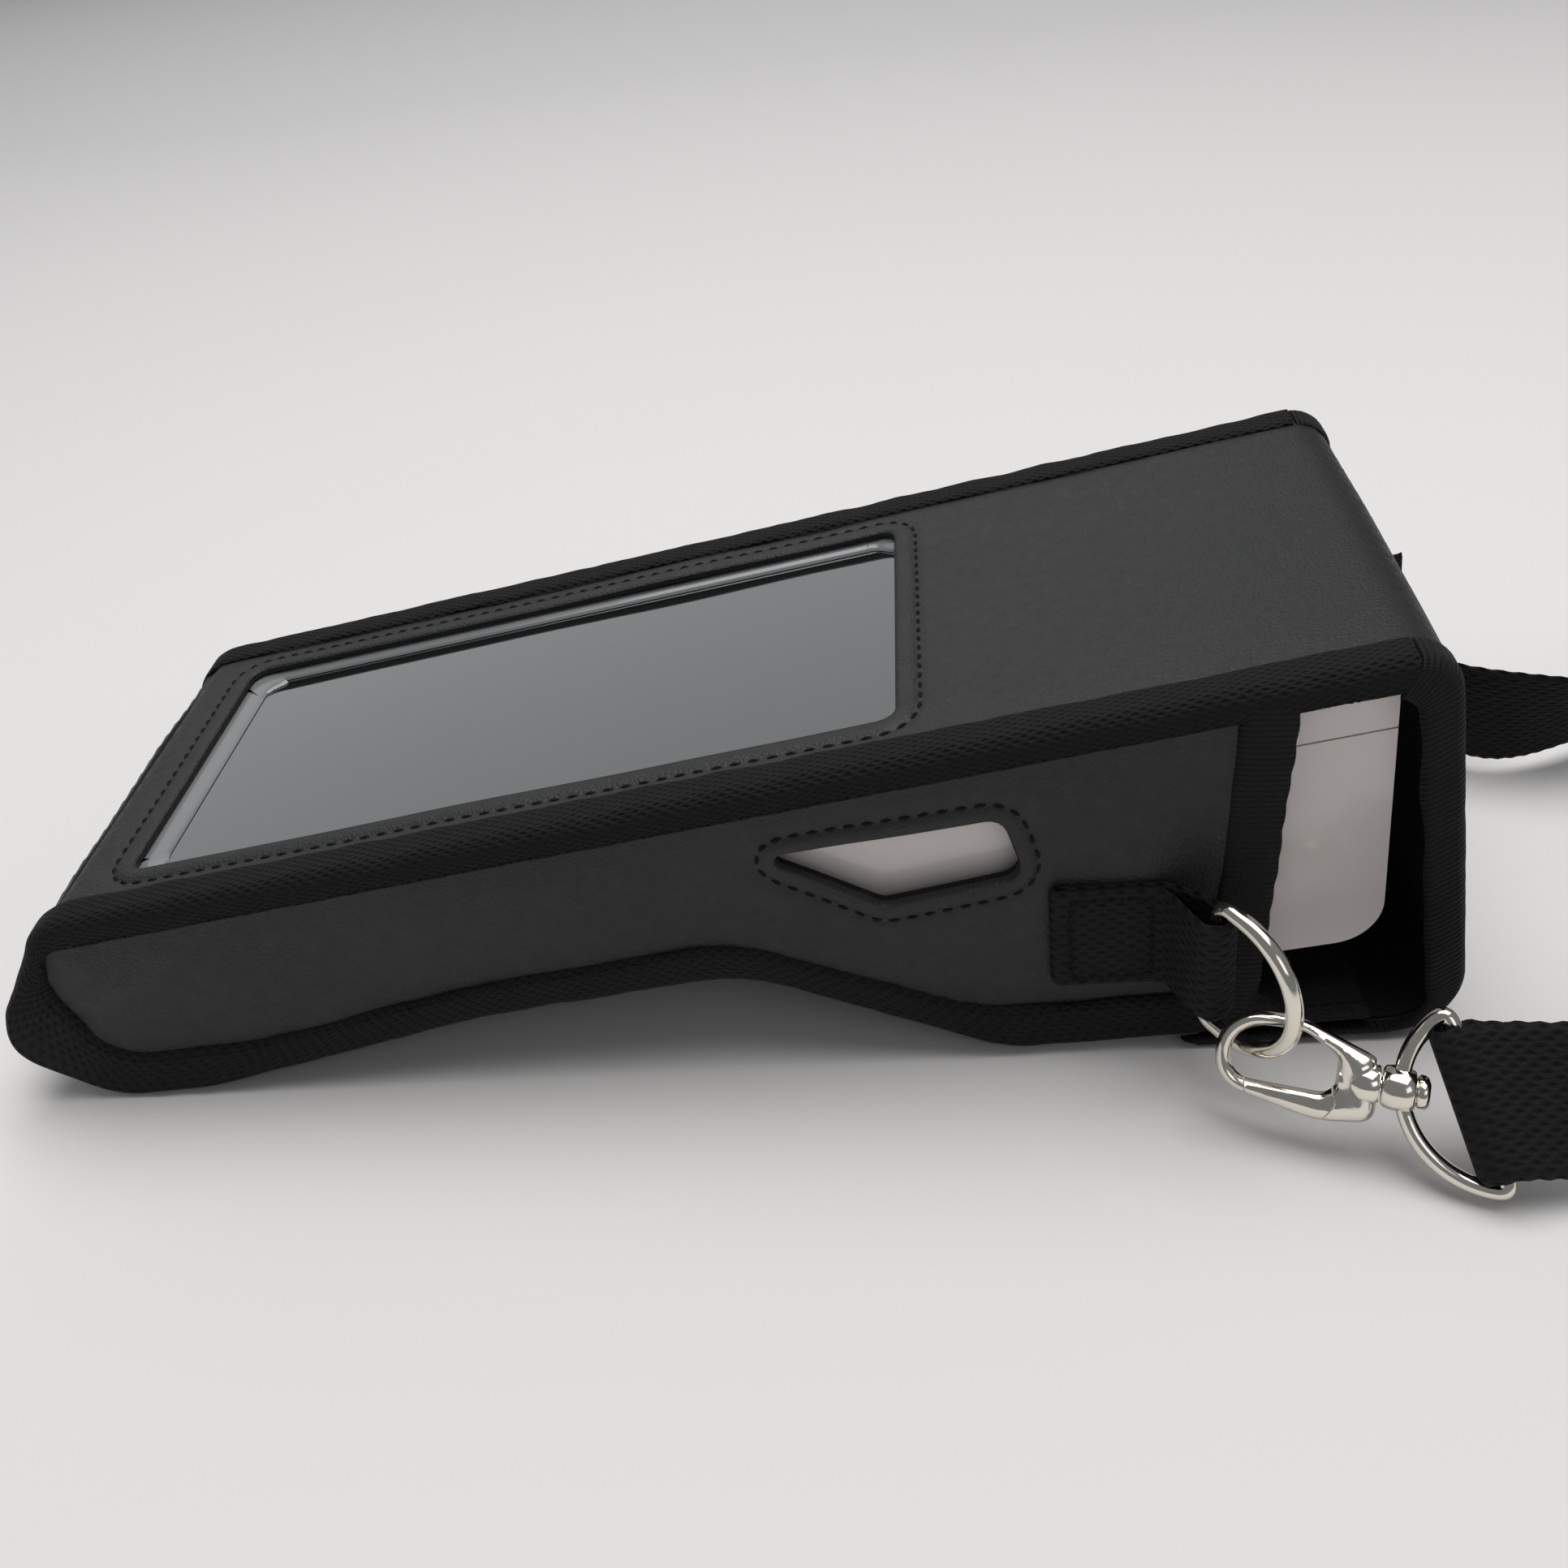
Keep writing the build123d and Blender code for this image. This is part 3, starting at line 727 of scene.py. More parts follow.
def build_strap():
    near = bail_loop()
    far = [(x, -y, z) for x, y, z in near[::-1]]
    middle = [(x, y, STRAP_MIDDLE) for x, y in NEAR_ROUTE[1:] + hank_route() + FAR_ROUTE[:2]]
    middle += [(x, y, STRAP_MIDDLE + FAR_RISE) for x, y in FAR_ROUTE[2:-1]]
    line = resample(nurbs_line("strap_line", to_metres(near + middle + far)), 0.0008)
    turned = np.clip((line[:, 0] - 0.118) / 0.05, 0, 1)[:, None]
    turned = turned * turned * (3 - 2 * turned)
    side = np.where(line[:, 1:2] < 0, 1.0, -1.0)
    bail_up = np.array(BAIL_UP) * np.concatenate([np.ones((len(line), 1)), side, np.ones((len(line), 1))], 1)
    up = bail_up * (1 - turned) + np.array([0.0, 0.0, 1.0]) * turned
    behind = (line[:, 1] > 0) & (line[:, 0] < 0.176)
    lean = np.clip((line[:, 0] - 0.131) / 0.032, 0, 1) - 0.605
    away = np.clip((0.060 - line[:, 1]) / 0.02, 0, 1) * np.clip((0.180 - line[:, 0]) / 0.012, 0, 1) * behind
    up += np.stack([-0.15 * away, -1.3 * lean * away, np.zeros(len(line))], 1)
    strap = web_along("strap", line, up, WEB / 1000, WEB_THICK / 1000 * 0.8, WEBBING)
    settle(strap, "case", "webbing", "strap_near_run", "strap_far_run", "strap_hank", "strap_end_near",
           "strap_end_far")


def band_round(name, middle, size, width, thick, material):
    """A closed band with rounded corners round a block, standing across its length."""
    half_y, half_z = size
    corners = [(-half_y, -half_z), (half_y, -half_z), (half_y, half_z), (-half_y, half_z)]
    loop, _ = rounded(corners, [2.0] * 4, 1.0)
    loop = resample(loop, 1.0, closed=True)
    outer = grow(loop, thick)
    vertices, cloth = [], []
    columns = 9
    along = lengths(loop)
    for row in range(len(loop)):
        sag = float(wander([[along[row]]], 12.0, 0.25, 3.0)[0])
        for line, stand in ((outer, 1), (loop, 0)):
            order = range(columns) if stand else range(columns - 1, -1, -1)
            for column in order:
                x = (column / (columns - 1) - 0.5) * width
                crown = 0.12 * stand * (1 - (2 * column / (columns - 1) - 1) ** 4)
                y, z = line[row] * (1 + crown / 20)
                vertices.append((middle[0] + x, middle[1] + y, middle[2] + z + sag * 0.3))
                cloth.append((along[row], x, 0.0))
    faces = grid_faces(len(loop), 2 * columns, closed=True)
    last = (len(loop) - 1) * 2 * columns
    for column in range(2 * columns):
        following = (column + 1) % (2 * columns)
        faces.append((last + column, last + following, following, column))
    return square_up(new_piece(name, to_metres(vertices), faces, [material], {"cloth": cloth}), 60)


def build_tie():
    x, width, thick = TIE
    lap = band_round("tie_band", (x, 0, STRAP_MIDDLE + 0.2), (37.0, WEB / 2 - 0.1), width, thick, GROSGRAIN)
    settle(lap, "case", "webbing", "hank_tie")


build_tie()
build_strap()

# ---- soft parts of the case ----


class Track:
    """A line in the side view, measured by the length along it. out is 1 if its outside is on the right."""

    def __init__(self, points, start=0.0, direction=1, out=1):
        self.points = np.asarray(points, float)
        self.along = start + direction * lengths(self.points)
        self.direction = direction
        tangent = np.gradient(self.points, axis=0)
        tangent /= np.maximum(np.linalg.norm(tangent, axis=1), 1e-9)[:, None]
        self.normals = np.stack([tangent[:, 1], -tangent[:, 0]], 1) * out

    def _read(self, u, values):
        order = slice(None, None, self.direction)
        return np.stack([np.interp(u, self.along[order], values[order, k]) for k in range(2)], 1)

    def at(self, u, raised=0.0):
        """Points at u, raised along the outward normal."""
        normal = self._read(u, self.normals)
        normal /= np.linalg.norm(normal, axis=1)[:, None]
        return self._read(u, self.points) + normal * np.asarray(raised).reshape(-1, 1)

    def reaches(self, x, last=False):
        """The length at which the line first, or last, passes x."""
        sign = np.sign(self.points[:, 0] - x)
        crossings = np.nonzero(sign[:-1] * sign[1:] <= 0)[0]
        k = crossings[-1 if last else 0]
        a, b = self.points[k, 0], self.points[k + 1, 0]
        part = 0.0 if a == b else (x - a) / (b - a)
        return self.along[k] + part * (self.along[k + 1] - self.along[k])


SWELL_MIDDLE, SWELL_PUSH = (-21.0, -24.0), (-0.92, -0.39)
SWELL_SIZE, SWELL_REACH = 3.6, 10.0


def fuller(loop):
    """The case's outline, pushed out at its end, which is fuller than its cut outline."""
    gap = np.linalg.norm(loop - np.array(SWELL_MIDDLE), axis=1)
    return loop + np.array(SWELL_PUSH) * (SWELL_SIZE * np.exp(-(gap / SWELL_REACH) ** 2))[:, None]


def case_path():
    """The case's outline from the flap fold, round the end and along the back."""
    loop, counts = rounded(BODY_OUTLINE, BODY_RADII, 1.0)
    seam, _ = rounded(SEAM_OUTLINE, SEAM_RADII, 1.0, counts)
    loop = fuller(loop)
    corner = sum(arc + run for arc, run in counts[:7]) + 1
    front = np.arange(FRONT_END, loop[0, 0] + 0.5, -1.0)
    lead = np.stack([front, np.zeros(len(front))], 1)
    seam_lead = np.stack([front, np.full(len(front), SEAM_OUTLINE[0][1])], 1)
    return np.concatenate([lead, loop[:corner]]), np.concatenate([seam_lead, seam[:corner]])


case_line, seam_line = case_path()
CASE = Track(case_line, FRONT_END, -1)
FOLD = CASE.reaches(FOLD_X)
BACK_FOLD = CASE.reaches(FOLD_X, last=True)
BACK_STOP = CASE.reaches(BACK_END, last=True)


def flap_path():
    """The flap's outline from its fold, round the end and back under the case."""
    loop, counts = rounded(FLAP_OUTLINE, FLAP_RADII, 1.0)
    inner, _ = rounded(FLAP_INNER, FLAP_INNER_RADII, 1.0, counts)
    keep = (loop[:, 0] >= FLAP_START) | ((loop[:, 0] > FLAP_TIP) & (loop[:, 1] < -30))
    return loop[keep], inner[keep]


flap_line, flap_seam = flap_path()


def strip(name, track, start, stop, half, thick, material, holes=(), details=(), spacing=3.0, outer=0.0,
          relief=None, round_edge=0.35):
    """A panel that follows a track from start to stop, between y = -half and half."""
    low, high = min(start, stop), max(start, stop)
    corners = np.array([(low, -half), (high, -half), (high, half), (low, half)], float)
    outline = resample(corners, spacing * 0.5, closed=True)
    flat, triangles = sheet_mesh(outline, holes, spacing, details)
    lift = np.zeros(len(flat)) if relief is None else relief(flat)
    edges = [outline, *holes]
    gap = np.min([distance_round(e, flat) for e in edges], axis=0)
    drop = edge_drop(gap, round_edge)

    def layer(height):
        side = track.at(flat[:, 0], height)
        return place(np.stack([side[:, 0], flat[:, 1], side[:, 1]], 1))

    return solid_sheet(name, flat, triangles, layer(outer + lift - drop), layer(outer - thick + lift * 0.6),
                       [material])


front_line = case_line[CASE.along >= FOLD][::-1]
SKIN = Track(np.concatenate([front_line, flap_line]), CASE.along[CASE.along >= FOLD][-1], out=-1)


def window_line(grown=0.0):
    first, last, width = WINDOW
    half = width / 2
    corners = [(first, -half), (last, -half), (last, half), (first, half)]
    loop, _ = rounded(corners, [3.0] * 4, 1.2)
    return grow(loop, grown) if grown else loop


def groove(line, points, depth, width):
    """A soft furrow along a closed line, such as a row of stitches pulls into leather."""
    gap = distance_round(line, points)
    return -depth * np.exp(-(gap / width) ** 2)


WINDOW_STITCH = 4.0
CUT_STITCH = 3.2


def front_relief(flat):
    """The front panel swells a little over the terminal and dips along its stitches."""
    x, y = flat[:, 0], flat[:, 1]
    gap = distance_round(window_line(), flat)
    swell = 0.35 * np.cos(np.clip(y / HALF, -1, 1) * math.pi / 2) * np.clip((x - 140) / 20, 0, 1)
    swell += 0.12 * np.exp(-((x - 232) / 9) ** 2) * np.sin(y * 0.21)
    lip = 0.28 * np.exp(-((gap - 1.8) / 1.5) ** 2)
    return swell + lip + groove(window_line(WINDOW_STITCH), flat, 0.32, 0.7) + wander(flat, 26.0, 0.12, 3.0)


def end_relief(flat):
    return 0.5 * np.cos(flat[:, 1] / HALF * math.pi / 2) + wander(flat, 22.0, 0.2, 5.0)


def back_relief(flat):
    return wander(flat, 30.0, 0.22, 7.0) - 0.15


def cut_line(grown=0.0):
    loop, _ = rounded(CUTOUT, CUTOUT_RADII, 1.0)
    return grow(loop, grown) if grown else loop


def clip_line(outline, x, lean):
    """The part of a closed outline on the case's side of a leaning line."""
    kept = []
    side = outline[:, 0] - (x + lean * outline[:, 1])
    for k in range(len(outline)):
        a, b, at, bt = outline[k - 1], outline[k], side[k - 1], side[k]
        if at * bt < 0:
            kept.append(a + (b - a) * at / (at - bt))
        if bt <= 0:
            kept.append(b)
    return np.array(kept)


def side_outline():
    seam, _ = rounded(SEAM_OUTLINE, SEAM_RADII, 1.2)
    return resample(clip_line(grow(seam, 2.2), MOUTH_X, MOUTH_LEAN), 1.6, closed=True)


def side_relief(flat):
    """How far a side panel stands out: full in the middle, drawn in along its stitches."""
    seam, _ = rounded(SEAM_OUTLINE, SEAM_RADII, 1.2)
    edge = distance_round(seam, flat)
    swell = 0.55 * (1 - np.exp(-edge / 6.0))
    gap = distance_round(cut_line(), flat)
    lip = 0.25 * np.exp(-((gap - 1.5) / 1.2) ** 2)
    pinch = groove(cut_line(CUT_STITCH), flat, 0.35, 0.7)
    hollow = -0.5 * np.exp(-(((flat[:, 0] - 100) / 26) ** 2 + ((flat[:, 1] + 19) / 12) ** 2))
    return swell + lip + pinch + hollow + wander(flat, 24.0, 0.35, 11.0) + wander(flat, 9.0, 0.06, 2.0)


def side_point(flat, depth, side):
    """Points of a side panel at a depth under the case's side plane, in metres."""
    y = (-HALF + depth) * side
    return place(np.stack([flat[:, 0], y, flat[:, 1]], 1))


def build_sides():
    outline = side_outline()
    hole = cut_line()
    offsets = (0.3, 0.9, 1.7, 2.5, 2.9, 3.2, 3.6, 4.3)
    flat, triangles = sheet_mesh(outline, [hole], 2.6, [(hole, offsets)])
    lift = side_relief(flat)
    gap = distance_round(hole, flat)
    drop = edge_drop(gap, 0.4)
    for name, side in SIDES.items():
        outer = side_point(flat, -lift + drop, side)
        inner = side_point(flat, LEATHER - lift * 0.5, side)
        panel = solid_sheet(f"side_leather_{name}", flat, triangles, outer, inner, [BLACK_LEATHER])
        settle(panel, "case", "leather", f"side_panel_{name}")
        outer = side_point(flat, LEATHER + 0.02 - lift * 0.5, side)
        inner = side_point(flat, WALL - lift * 0.3, side)
        cloth = solid_sheet(f"side_cloth_{name}", flat, triangles, outer, inner, [LINING_CLOTH])
        settle(cloth, "case", "lining", f"side_lining_{name}")
        seam_rows(f"cutout_stitches_{name}", cut_line(CUT_STITCH),
                  lambda p, s=side: side_point(p, -side_relief(p), s), 2.9, closed=True)


def build_panels():
    hole = window_line()
    offsets = (0.35, 0.9, 1.8, 2.8, 3.4, 3.7, 4.0, 4.3, 4.8, 5.6)
    front = strip("front_and_flap_leather", SKIN, FOLD, SKIN.along[-1], HALF - 0.4, LEATHER, BLACK_LEATHER,
                  [hole], [(hole, offsets)], 2.8, relief=front_relief)
    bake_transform(front)
    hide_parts("front_panel", "flap_leather")
    end = strip("end_leather", CASE, BACK_FOLD, FOLD + 0.05, HALF - 0.4, LEATHER, BLACK_LEATHER, spacing=2.6,
                relief=end_relief)
    settle(end, "case", "leather", "end_panel")
    back = strip("back_leather", CASE, BACK_STOP, BACK_FOLD + 0.05, HALF - 0.4, LEATHER, BLACK_LEATHER,
                 spacing=3.4, relief=back_relief)
    settle(back, "case", "leather", "back_panel")
    lining_half = HALF - 1.3
    layers = (("front", FOLD, FRONT_END, [hole]),
              ("end", BACK_FOLD, FOLD, []),
              ("back", BACK_STOP, BACK_FOLD, []))
    for name, start, stop, holes in layers:
        cloth = strip(f"{name}_cloth", CASE, start, stop, lining_half, LINING - 0.2, LINING_CLOTH, holes,
                      spacing=3.6, outer=-LEATHER - 0.1)
        settle(cloth, "case", "lining", f"{name}_lining")
    front_map = lambda p: surface(CASE, p, front_relief(p))
    seam_rows("window_stitches", window_line(WINDOW_STITCH), front_map, 3.0, closed=True)


def build_rim():
    """The screen's glossy frame, seen inside the window and widest at its left end."""
    outer = window_line(0.4)
    middle = outer.mean(0)
    away = outer - middle
    left = np.clip((-away[:, 0] - 61) / 3, 0, 1)
    far = np.clip((away[:, 1] - 30) / 2, 0, 1)
    width = 1.0 + 3.0 * left + 1.0 * far * (1 - left)
    inner = outer - np.sign(away) * width[:, None] * (np.abs(away) > [[62.0, 28.0]])
    rows = []
    for part, height in ((0.0, -1.5), (0.7, -2.1), (0.9, -2.3), (1.0, -2.7)):
        flat = outer + (inner - outer) * part
        rows.append(np.column_stack([flat, np.full(len(flat), height)]))
    faces = grid_faces(len(rows), len(outer), closed=True)
    rim = square_up(new_piece("window_rim", place(np.concatenate(rows)), faces, [RIM]), 50)
    settle(rim, "terminal", "glass")


def surface(track, flat, height):
    side = track.at(flat[:, 0], height)
    return place(np.stack([side[:, 0], flat[:, 1], side[:, 1]], 1))


def seam_rows(name, line, to_space, pitch, closed=False, radius=0.3, sunk=0.1, flip=1):
    """A row of lock stitches: short rounded threads that dive into the material at both ends."""
    ends = resample(line, pitch, closed)
    if closed:
        ends = np.concatenate([ends, ends[:1]])
    vertices, faces = [], []
    ring_size, rings = 6, 7
    for k in range(len(ends) - 1):
        a, b = ends[k], ends[k + 1]
        parts = np.linspace(0.1, 0.9, rings)
        flat = a + (b - a) * parts[:, None]
        centre = to_space(flat)
        nudge = (b - a) / np.linalg.norm(b - a) * 0.2
        across = np.array([-nudge[1], nudge[0]])
        ahead = to_space(flat + nudge) - centre
        ahead /= np.linalg.norm(ahead, axis=1)[:, None]
        beside = to_space(flat + across) - centre
        out = np.cross(ahead, beside) * flip
        out /= np.linalg.norm(out, axis=1)[:, None]
        beside = np.cross(out, ahead)
        rise = np.sin(np.linspace(0, math.pi, rings))
        thick = radius * (0.55 + 0.45 * rise ** 0.5) / 1000
        height = (radius * 1.15 * rise - radius * 0.75 - sunk * (1 - rise)) / 1000
        slant = 0.16 * math.sin(k * 2.4) * (parts - 0.5) / 1000
        first = len(vertices)
        for j in range(rings):
            for q in range(ring_size):
                angle = 2 * math.pi * q / ring_size
                vertices.append(centre[j] + out[j] * (height[j] + thick[j] * math.sin(angle))
                                + beside[j] * (slant[j] + thick[j] * math.cos(angle)))
        faces += tube_faces(rings, ring_size, first)
    piece = square_up(new_piece(name, vertices, faces, [THREAD]), 70)
    return settle(piece, "case", "binding")


def tape_over_edge(name, outer, inner, side, material, face_width, side_stand, face_stand, seed, waves=0.12,
                   thick=0.55, out=1):
    """Woven tape folded over an edge: outer is the edge, inner the seam that it covers to on the side."""
    tangent = np.gradient(outer, axis=0)
    tangent /= np.linalg.norm(tangent, axis=1)[:, None]
    normal = np.stack([tangent[:, 1], -tangent[:, 0]], 1) * out
    along = lengths(outer)
    reach = np.linalg.norm(inner - outer, axis=1)
    inward = (inner - outer) / reach[:, None]
    profile = []
    for a in (1.0, 0.985, 0.94, 0.86, 0.74, 0.6, 0.45, 0.3):
        puff = (1 - abs(2 * a - 1) ** 5) ** 0.5 if a > 0.5 else 1.0
        profile.append((a * face_width, face_stand * puff, 0.0))
    for k in range(1, 8):
        angle = math.pi / 2 * k / 8
        profile.append((1.5 - (1.5 + side_stand) * math.sin(angle), face_stand * math.cos(angle),
                        1.6 * (1 - math.cos(angle))))
    for b in (0.4, 0.52, 0.64, 0.76, 0.86, 0.93, 0.975, 1.0):
        puff = (1 - abs(2 * b - 1) ** 5) ** 0.5 if b > 0.5 else 1.0
        profile.append((-side_stand * puff, 0.0, b))
    vertices, cloth = [], []
    sections = []
    for index, (a, h, b) in enumerate(profile):
        depth = b if index < 15 else b * reach
        height = np.full(len(outer), h)
        wave = wander(np.stack([along, np.full(len(outer), index * 0.9)], 1), 7.0, waves, seed)
        wave += wander(np.stack([along, np.full(len(outer), index * 0.5)], 1), 2.6, waves * 0.45, seed + 4)
        fade = 0.35 if index in (0, len(profile) - 1) else 1.0
        edge = wander(along[:, None], 9.0, 0.3, seed + index // 12) if index in (0, 22) else 0.0
        stand = height + wave * fade if index < 12 else height
        inset = np.asarray(depth) * np.ones(len(outer))
        flat = outer + normal * np.asarray(stand)[:, None] + inward * inset[:, None]
        if index == len(profile) - 1:
            flat = flat + inward * np.asarray(edge).reshape(-1, 1)
        y = np.full(len(outer), -HALF + a)
        if index == 0:
            y = y + edge
        if index >= 12:
            y = y - wave * fade
        sections.append(np.stack([flat[:, 0], y * side, flat[:, 1]], 1))
    ring = sections + [None] * len(sections)
    count = len(sections)
    core = np.stack([outer[:, 0] + inward[:, 0] * 2.2, np.full(len(outer), (-HALF + 2.2) * side),
                     outer[:, 1] + inward[:, 1] * 2.2], 1)
    for index in range(count):
        here = sections[count - 1 - index]
        pull = core - here
        pull /= np.linalg.norm(pull, axis=1)[:, None]
        ring[count + index] = here + pull * thick
    steps = [0.0]
    for index in range(1, count):
        step = np.linalg.norm(sections[index] - sections[index - 1], axis=1)
        steps.append(steps[-1] + float(np.median(step)))
    spread = steps + steps[::-1]
    for k in range(len(outer)):
        for index, section in enumerate(ring):
            vertices.append(section[k])
            cloth.append((along[k], spread[index], 0.0))
    faces = tube_faces(len(outer), len(ring))
    return square_up(new_piece(name, place(vertices), faces, [material], {"cloth": cloth}), 65)


def build_bindings():
    stop = np.argmax((CASE.points[:, 0] > BACK_END) & (CASE.along < BACK_FOLD))
    outer, inner = case_line[:stop + 1], seam_line[:stop + 1]
    past = np.clip((outer[:, 0] - 184) / 5, 0, 1) * (outer[:, 1] < -30)
    inner = inner + (outer - inner) * (0.62 * past)[:, None]
    for name, side in SIDES.items():
        tape = tape_over_edge(f"edge_tape_{name}", outer, inner, side, BINDING_TAPE, TAPE_ON_FACE, 1.1, 0.85,
                              2.0 + side)
        settle(tape, "case", "binding", f"edge_binding_{name}")
        track = Track(outer + (inner - outer) * 0.86)
        line = np.stack([track.along, np.zeros(len(track.along))], 1)
        seam_rows(f"edge_stitches_{name}", line,
                  lambda p, s=side, t=track: side_spot(t.at(p[:, 0], -p[:, 1]), 0.85, s), 3.1, radius=0.22,
                  flip=-side, sunk=0.15)


def side_spot(flat, stand, side):
    """Points on a side view, standing off the case's side plane, in metres."""
    return place(np.stack([flat[:, 0], np.full(len(flat), (-HALF - stand) * side), flat[:, 1]], 1))


def mouth_tape(name, side):
    """Grosgrain folded over the free end of a side panel."""
    top, bottom = (MOUTH_X, -3.2), (MOUTH_X - MOUTH_LEAN * 60.5, -60.5)
    line = resample(np.array([top, bottom], float), 0.8)
    along = lengths(line)
    away = np.array([1.0, -MOUTH_LEAN]) / math.hypot(1, MOUTH_LEAN)
    ring = []
    for t in (1.0, 0.97, 0.9, 0.7, 0.45, 0.2):
        ring.append((-t * MOUTH_TAPE, -0.85 * (1 - (2 * t - 1) ** 8) ** 0.5 if t > 0.5 else -0.85))
    for k in range(1, 8):
        angle = math.pi * k / 8
        ring.append((0.9 * math.sin(angle), WALL / 2 - (WALL / 2 + 0.85) * math.cos(angle)))
    for t in (0.2, 0.6, 0.9, 1.0):
        ring.append((-t * MOUTH_TAPE, WALL + 0.6))
    ring += [(-MOUTH_TAPE + 0.1, WALL + 0.05), (-0.5, WALL + 0.05), (-0.5, -0.05), (-MOUTH_TAPE + 0.1, -0.05)]
    vertices, cloth = [], []
    for k in range(len(line)):
        ripple = float(wander([along[k]], 8.0, 0.18, 6.0)[0])
        fray = 0.10 * math.sin(along[k] * 2 * math.pi / 0.95)
        for index, (reach, depth) in enumerate(ring):
            shift = ripple + (fray if 5 < index < 13 else 0.0)
            flat = line[k] + away * (reach + shift)
            vertices.append((flat[0], (-HALF + depth - 0.3) * side, flat[1]))
            cloth.append((along[k], reach if depth < WALL / 2 else 10 - reach, 0.0))
    faces = tube_faces(len(line), len(ring))
    piece = square_up(new_piece(name, place(vertices), faces, [GROSGRAIN], {"cloth": cloth}), 60)
    return settle(piece, "case", "binding", f"mouth_binding_{'near' if side > 0 else 'far'}")


def cross_tape(name, track, start, stop, half, outer, thick, material, body, *replaced):
    """Tape across the case, over a panel's free edge."""
    tape = strip(name, track, start, stop, half, thick, material, spacing=1.4, outer=outer,
                 relief=lambda p: wander(p, 5.0, 0.06, 4.0), round_edge=0.5)
    return settle(tape, body, "binding", *replaced)


def build_flap():
    half = HALF - 0.4
    whole = Track(flap_line, flap_line[0, 0], out=-1)
    cloth = strip("flap_cloth", whole, FLAP_START, whole.along[-1], half - 1, FLAP_LINING, LINING_CLOTH,
                  spacing=3.4, outer=-LEATHER - 0.02)
    settle(cloth, "flap", "lining", "flap_lining")
    for name, side in SIDES.items():
        tape = tape_over_edge(f"flap_tape_{name}", flap_line, flap_seam, side, GROSGRAIN, TAPE_ON_FACE, 1.1,
                              0.6, 8.0 + side, waves=0.08, out=-1)
        settle(tape, "flap", "binding", f"flap_binding_{name}")
    tip = whole.along[-1]
    cross_tape("flap_tip_tape", whole, tip - 6.3, tip, HALF - TAPE_ON_FACE, 0.55, 0.5, GROSGRAIN, "flap",
               "flap_tip_binding")


def build_pads():
    first, last, width = PAD
    low = CASE.reaches(last, last=True)
    high = CASE.reaches(first, last=True)
    loops = strip("loop_fastener", CASE, low, high, width / 2, 0.5, LOOP_PAD, spacing=1.2, outer=0.5,
                  relief=lambda p: wander(p, 0.9, 0.08, 1.0))
    settle(loops, "case", "pad", "loop_pad")
    whole = Track(flap_line, flap_line[0, 0], out=-1)
    low = whole.reaches(last, last=True)
    high = whole.reaches(first, last=True)
    inset = -LEATHER - FLAP_LINING
    hooks = strip("hook_fastener", whole, low, high, width / 2, 0.4, HOOK_PAD, spacing=1.2, outer=inset,
                  relief=lambda p: wander(p, 0.9, 0.05, 2.0))
    settle(hooks, "flap", "pad", "hook_pad")


build_panels()
build_rim()
build_sides()
build_bindings()
for side_name, side_sign in SIDES.items():
    mouth_tape(f"mouth_tape_{side_name}", side_sign)
cross_tape("back_edge_tape", CASE, BACK_STOP - 0.6, BACK_STOP + 6, HALF - 10, 0.6, 0.5, GROSGRAIN, "case",
           "back_edge_binding")
build_flap()
build_pads()

# ---- ring tabs ----

RING_BAR = (79.5, -54.9, 26.0)
TAB_START, TAB_END, TAB_LOW, TAB_HIGH = 56.8, 74.7, 16.4, 35.4
TAB_WEB = 1.15


def tab_route():
    """Webbing from its sewn end, round the ring's bar and back, seen from above."""
    bar = np.array(RING_BAR[:2])
    ahead = bar - np.array([TAB_END, -HALF - TAB_WEB])
    ahead /= np.linalg.norm(ahead)
    beside = np.array([-ahead[1], ahead[0]])
    turn = [bar + ahead * a + beside * b for a, b in ((-3, 2.4), (3.1, 2.9), (3.1, -2.9), (-3, -2.4))]
    inner, outer = -HALF - 0.75, -HALF - 2.1
    flat = [(TAB_START + 0.6, inner), (66, inner), (TAB_END - 1.5, inner), (TAB_END + 0.4, inner - 0.6)]
    back = [(TAB_END - 0.6, outer - 1.1), (TAB_END - 2.2, outer), (66, outer), (TAB_START + 1.0, outer)]
    return flat + [tuple(p) for p in turn] + back + [(TAB_START - 0.4, outer + 0.2), (TAB_START - 0.3, inner)]


def tab_point(flat, side):
    """Points on a tab's face, from x and height, in metres."""
    return to_metres(np.stack([flat[:, 0], np.full(len(flat), (-HALF - 2.75) * side), flat[:, 1]], 1))


def build_tabs():
    height = (TAB_LOW + TAB_HIGH) / 2
    route = [(x, y, height) for x, y in tab_route()]
    line = resample(nurbs_line("tab_line", to_metres(route)), 0.0005)
    upright = np.tile([0.0, 0.0, 1.0], (len(line), 1))
    for name, side in SIDES.items():
        turned = line * (1, side, 1)
        tab = web_along(f"tab_webbing_{name}", turned, upright, (TAB_HIGH - TAB_LOW) / 1000, TAB_WEB / 1000,
                        WEBBING)
        settle(tab, "case", "webbing", f"ring_tab_{name}")
        left, right = TAB_START + 2.2, TAB_END - 3.2
        box = np.array([(left, TAB_LOW + 1.8), (right, TAB_LOW + 1.8), (right, TAB_HIGH - 1.8),
                        (left, TAB_HIGH - 1.8)], float)
        seam_rows(f"tab_stitches_{name}", resample(box, 0.6, closed=True), lambda p, s=side: tab_point(p, s),
                  2.6, closed=True, radius=0.28, flip=-side)


build_tabs()

# ---- snap hook and bail ----

